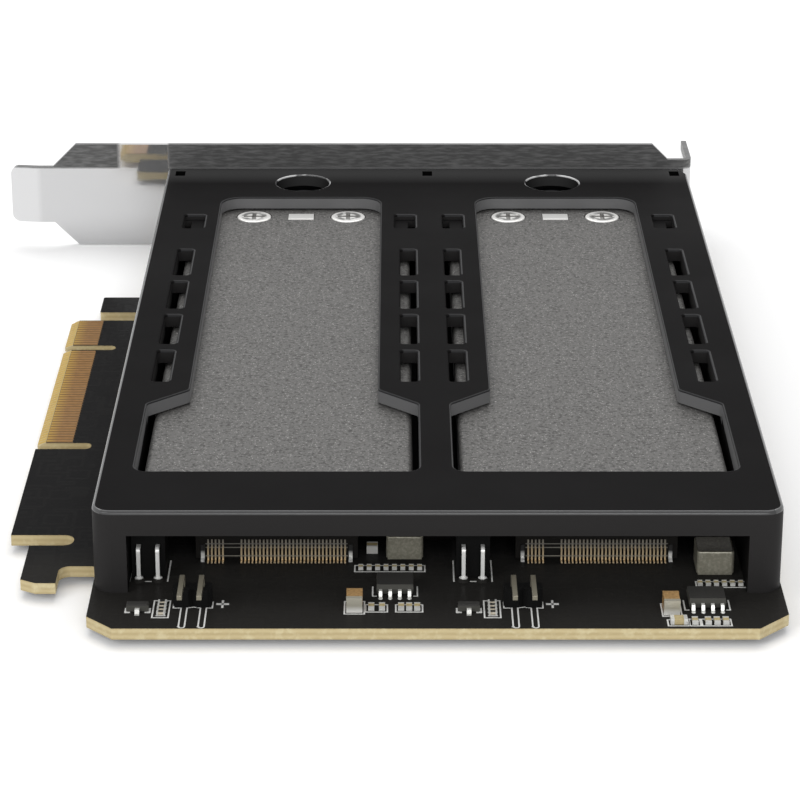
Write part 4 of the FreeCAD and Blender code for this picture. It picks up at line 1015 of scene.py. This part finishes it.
def finish_tree(tree, entry, leave, geometry):
    """Ends a tree with Realize Instances and Set Material."""
    real = tree.nodes.new("GeometryNodeRealizeInstances")
    paint = tree.nodes.new("GeometryNodeSetMaterial")
    tree.links.new(geometry, real.inputs[0])
    tree.links.new(real.outputs[0], paint.inputs["Geometry"])
    tree.links.new(entry.outputs["Finish"], paint.inputs["Material"])
    tree.links.new(paint.outputs[0], leave.inputs[0])


def grow(name, tree, values, places, body):
    """Runs a tree on loose points, given in millimetres, and keeps the result as a plain piece."""
    points = bpy.data.meshes.new(name + "_points")
    points.from_pydata([tuple(v * MM for v in place) for place in places], [], [])
    host = bpy.data.objects.new(name + "_host", points)
    scene.collection.objects.link(host)
    modifier = host.modifiers.new("grow", "NODES")
    modifier.node_group = tree
    keys = {item.name: item.identifier for item in tree.interface.items_tree if item.in_out == "INPUT"}
    for label, value in values.items():
        modifier[keys[label]] = value
    shaped = host.evaluated_get(bpy.context.evaluated_depsgraph_get())
    data = bpy.data.meshes.new_from_object(shaped)
    data.name = name
    host.modifiers.remove(modifier)
    bpy.data.objects.remove(host)
    add_piece(name, data, body)


print("geometry helpers ready")

# %% [markdown]
# One strip is a thin slab that can be tilted about the card's length, so the same tree lays tips on
# the slope, flat film between the contacts, and bars across the sockets.


# %% Build the strip tree
def strip_tree():
    tree, entry, leave = geometry_tree("strip_row", [
        ("Length", "Float", 1.0 * MM), ("Width", "Float", 0.7 * MM), ("Thickness", "Float", 0.03 * MM),
        ("Slope", "Float", 0.0), ("Finish", "Material", None)])
    size = tree.nodes.new("ShaderNodeCombineXYZ")
    for label, axis in (("Length", "X"), ("Width", "Y"), ("Thickness", "Z")):
        tree.links.new(entry.outputs[label], size.inputs[axis])
    strip = tree.nodes.new("GeometryNodeMeshCube")
    tree.links.new(size.outputs[0], strip.inputs["Size"])
    turn = tree.nodes.new("ShaderNodeCombineXYZ")
    tree.links.new(entry.outputs["Slope"], turn.inputs["Y"])
    place = tree.nodes.new("GeometryNodeInstanceOnPoints")
    tree.links.new(entry.outputs["Geometry"], place.inputs["Points"])
    tree.links.new(strip.outputs["Mesh"], place.inputs["Instance"])
    tree.links.new(turn.outputs[0], place.inputs["Rotation"])
    finish_tree(tree, entry, leave, place.outputs[0])
    return tree


strips = strip_tree()
print("strip tree:", len(strips.nodes), "nodes")

# %% [markdown]
# The tips lie on the slope, in line with the contacts, whose rows are read from their solid. Between the
# contacts the mask stops short and leaves bare film, on both faces of the board.

# %% Lay the plated tips and the film
SLOPE_RUN = 1.3
SLOPE_DROP = 0.5
TIP_SHORTER = 0.12
TIP_THICKNESS = 0.04
TIP_SINK = 0.005
FILM_WIDTH = 0.31
FILM_THICKNESS = 0.02
FILM_LIFT = 0.012
FILM_GAP = 0.02
FILM_OVERRUN = 0.1
contact_sides = sorted({round(p.y, 3) for p in vertices_of("edge_contacts")})
contact_rows = [(a + b) / 2 for a, b in zip(contact_sides[::2], contact_sides[1::2])]
contact_width = contact_sides[1] - contact_sides[0]
contact_pitch = contact_rows[1] - contact_rows[0]
slope_length = math.hypot(SLOPE_RUN, SLOPE_DROP)
slope_angle = math.atan2(SLOPE_DROP, SLOPE_RUN)
tip_depth = SLOPE_DROP / 2 - TIP_SINK
tip_values = {"Length": (slope_length - TIP_SHORTER) * MM, "Width": contact_width * MM,
              "Thickness": TIP_THICKNESS * MM, "Finish": tip_gold}
for name, z, slope in (("upper_contact_tips", -tip_depth, -slope_angle),
                       ("lower_contact_tips", board_bottom + tip_depth, slope_angle)):
    places = [(SLOPE_RUN / 2, y, z) for y in contact_rows]
    grow(name, strips, {**tip_values, "Slope": slope}, places, "card")

film_start = SLOPE_RUN + FILM_GAP
film_end = contact_high.x / MM + FILM_OVERRUN
film_rows = [y - contact_pitch / 2 for y in contact_rows] + [contact_rows[-1] + contact_pitch / 2]
film_values = {"Length": (film_end - film_start) * MM, "Width": FILM_WIDTH * MM,
               "Thickness": FILM_THICKNESS * MM, "Slope": 0.0, "Finish": bare_film}
for name, z in (("upper_contact_film", FILM_LIFT), ("lower_contact_film", board_bottom - FILM_LIFT)):
    places = [((film_start + film_end) / 2, y, z) for y in film_rows]
    grow(name, strips, film_values, places, "card")

# %% [markdown]
# Thin bars run across each drive socket, over its row of contacts and across the gap for the key: two
# high up and one low down. A place is how far in front of the socket a bar lies, and how high.

# %% Bars on the drive sockets
BAR_LENGTH = 19.2
BAR_WIDTH = 0.06
BAR_HEIGHT = 0.12
BAR_PLACES = ((0.27, 2.35), (0.27, 1.8), (0.8, 0.8))
socket_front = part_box("left_drive_socket")[0].y / MM
bar_places = [(middle / MM, socket_front - out, z)
              for middle in channel_middles.values() for out, z in BAR_PLACES]
bar_values = {"Length": BAR_LENGTH * MM, "Width": BAR_WIDTH * MM, "Thickness": BAR_HEIGHT * MM,
              "Slope": 0.0, "Finish": bar_grey}
grow("socket_bars", strips, bar_values, bar_places, "card")

# %% [markdown]
# ## Solder
# Each lead ends in a small shiny mound. One dome on many points makes them all. The dome's width and
# height are inputs, so the same tree serves the chip leads on the board and the pins under it.


# %% Build the mound tree
def mound_tree():
    tree, entry, leave = geometry_tree("solder_mounds", [
        ("Width", "Float", 0.5 * MM), ("Depth", "Float", 0.5 * MM), ("Height", "Float", 0.2 * MM),
        ("Finish", "Material", None)])
    dome = tree.nodes.new("GeometryNodeMeshUVSphere")
    dome.inputs["Segments"].default_value = 12
    dome.inputs["Rings"].default_value = 6
    dome.inputs["Radius"].default_value = 0.5
    size = tree.nodes.new("ShaderNodeCombineXYZ")
    tree.links.new(entry.outputs["Width"], size.inputs["X"])
    tree.links.new(entry.outputs["Depth"], size.inputs["Y"])
    tree.links.new(maths(tree, "MULTIPLY", entry.outputs["Height"], 2.0), size.inputs["Z"])
    place = tree.nodes.new("GeometryNodeInstanceOnPoints")
    tree.links.new(entry.outputs["Geometry"], place.inputs["Points"])
    tree.links.new(dome.outputs["Mesh"], place.inputs["Instance"])
    tree.links.new(size.outputs[0], place.inputs["Scale"])
    smooth = tree.nodes.new("GeometryNodeSetShadeSmooth")
    tree.links.new(place.outputs[0], smooth.inputs["Geometry"])
    finish_tree(tree, entry, leave, smooth.outputs[0])
    return tree


mounds = mound_tree()
print("mound tree:", len(mounds.nodes), "nodes")

# %% [markdown]
# A chip has four leads along its front and four along its rear. The pins of the lamps and the headers
# pass through the board and are soldered under it.

# %% Add the solder
CHIP_LEADS = 4
CHIP_LEAD_PITCH = 1.27
CHIP_LEAD_REACH = 3.0
chip_places = [(x + (i - (CHIP_LEADS - 1) / 2) * CHIP_LEAD_PITCH, y + turn * CHIP_LEAD_REACH, 0.0)
               for x, y in driver_chips.values() for i in range(CHIP_LEADS) for turn in (-1, 1)]
chip_mound = {"Width": 0.62 * MM, "Depth": 0.8 * MM, "Height": 0.16 * MM, "Finish": tin}
grow("chip_solder", mounds, chip_mound, chip_places, "card")
pin_places = [(x + turn * HEADER_PITCH / 2, y, board_bottom)
              for pins in (headers, lamp_leads) for x, y in pins.values() for turn in (-1, 1)]
pin_mound = {"Width": 1.7 * MM, "Depth": 1.7 * MM, "Height": 0.5 * MM, "Finish": tin}
grow("pin_solder", mounds, pin_mound, pin_places, "card")

# %% [markdown]
# ## Camera
# A long lens from a little above the card's front edge. Its turn is set in degrees, so the view stays
# a plain fact that can be read: nearly 22 degrees down.

# %% Set the camera
LOOK_DOWN = 21.805
ROLL = -0.039
TURN = -0.078
camera_data = bpy.data.cameras.new("camera")
camera_data.lens = 137.25
camera_data.sensor_width = 36.0
camera_data.clip_start = 0.01
camera = bpy.data.objects.new("camera", camera_data)
camera.location = (52.97 * MM, -455.95 * MM, 173.44 * MM)
camera.rotation_euler = (math.radians(90 - LOOK_DOWN), math.radians(ROLL), math.radians(TURN))
scene.collection.objects.link(camera)
scene.camera = camera
scene.view_settings.view_transform = "Standard"
print("camera lens:", camera_data.lens)

# %% [markdown]
# ## Floor, world and lamps
# The floor is a large white sheet just under the card, and takes the card's shadow. A thin veil of its
# own white, which gives no light to the card, keeps that shadow from closing up.

# %% Lay the floor
FLOOR_REACH = 3.0
FLOOR_DROP = 0.02 * MM
SHADOW_VEIL = 0.09


def seen_directly(tree):
    """1 for what the camera sees, straight or in a reflection or through a clear part, and 0 for light."""
    rays = tree.nodes.new("ShaderNodeLightPath")
    mirrored = maths(tree, "MAXIMUM", rays.outputs["Is Glossy Ray"], rays.outputs["Is Transmission Ray"])
    return maths(tree, "MAXIMUM", rays.outputs["Is Camera Ray"], mirrored)


def lay_floor():
    mesh = bmesh.new()
    bmesh.ops.create_grid(mesh, x_segments=1, y_segments=1, size=FLOOR_REACH)
    finish = Finish("floor_white", (0.95, 0.95, 0.95), 0.9, specular=0.0)
    finish.shader.inputs["Emission Color"].default_value = (1, 1, 1, 1)
    veil = remap(finish.tree, seen_directly(finish.tree), 0.0, 1.0, 0.0, SHADOW_VEIL)
    finish.tree.links.new(veil, finish.shader.inputs["Emission Strength"])
    floor = bpy.data.objects.new("floor", finished_mesh("floor", mesh, finish.material))
    floor.location = (0.05, 0, cad_bounds[0][2] - FLOOR_DROP)
    scene.collection.objects.link(floor)
    return floor


floor = lay_floor()
print("floor height, mm:", round(floor.location.z / MM, 3))

# %% [markdown]
# The world is white to the camera and in reflections, and a mid grey as a light. A wide softbox hangs
# over the card, and two smaller ones in front of it light the parts on the board and the cage's
# rounded edges.

# %% Light the card
WORLD_LIGHT = 0.56
WORLD_SEEN = 1.0


def light_world():
    world = bpy.data.worlds.new("studio")
    scene.world = world
    world.use_nodes = True
    tree = world.node_tree
    back = tree.nodes["Background"]
    strength = remap(tree, seen_directly(tree), 0.0, 1.0, WORLD_LIGHT, WORLD_SEEN)
    tree.links.new(strength, back.inputs["Strength"])
    back.inputs["Color"].default_value = (1, 1, 1, 1)


def softbox(name, place, aim, size, power):
    lamp = bpy.data.lights.new(name, "AREA")
    lamp.shape = "RECTANGLE"
    lamp.size, lamp.size_y = size
    lamp.energy = power
    box = bpy.data.objects.new(name, lamp)
    box.location = place
    box.rotation_euler = (Vector(aim) - Vector(place)).to_track_quat("-Z", "Y").to_euler()
    scene.collection.objects.link(box)


light_world()
card_centre = (0.055, -0.02, 0)
softbox("overhead", (0.05, 0.45, 0.85), aim=card_centre, size=(1.0, 0.7), power=4.9)
softbox("front_left", (-0.6, -0.7, 0.6), aim=card_centre, size=(0.45, 0.45), power=2.5)
softbox("front", (0.15, -0.9, 0.35), aim=card_centre, size=(0.5, 0.3), power=2.5)
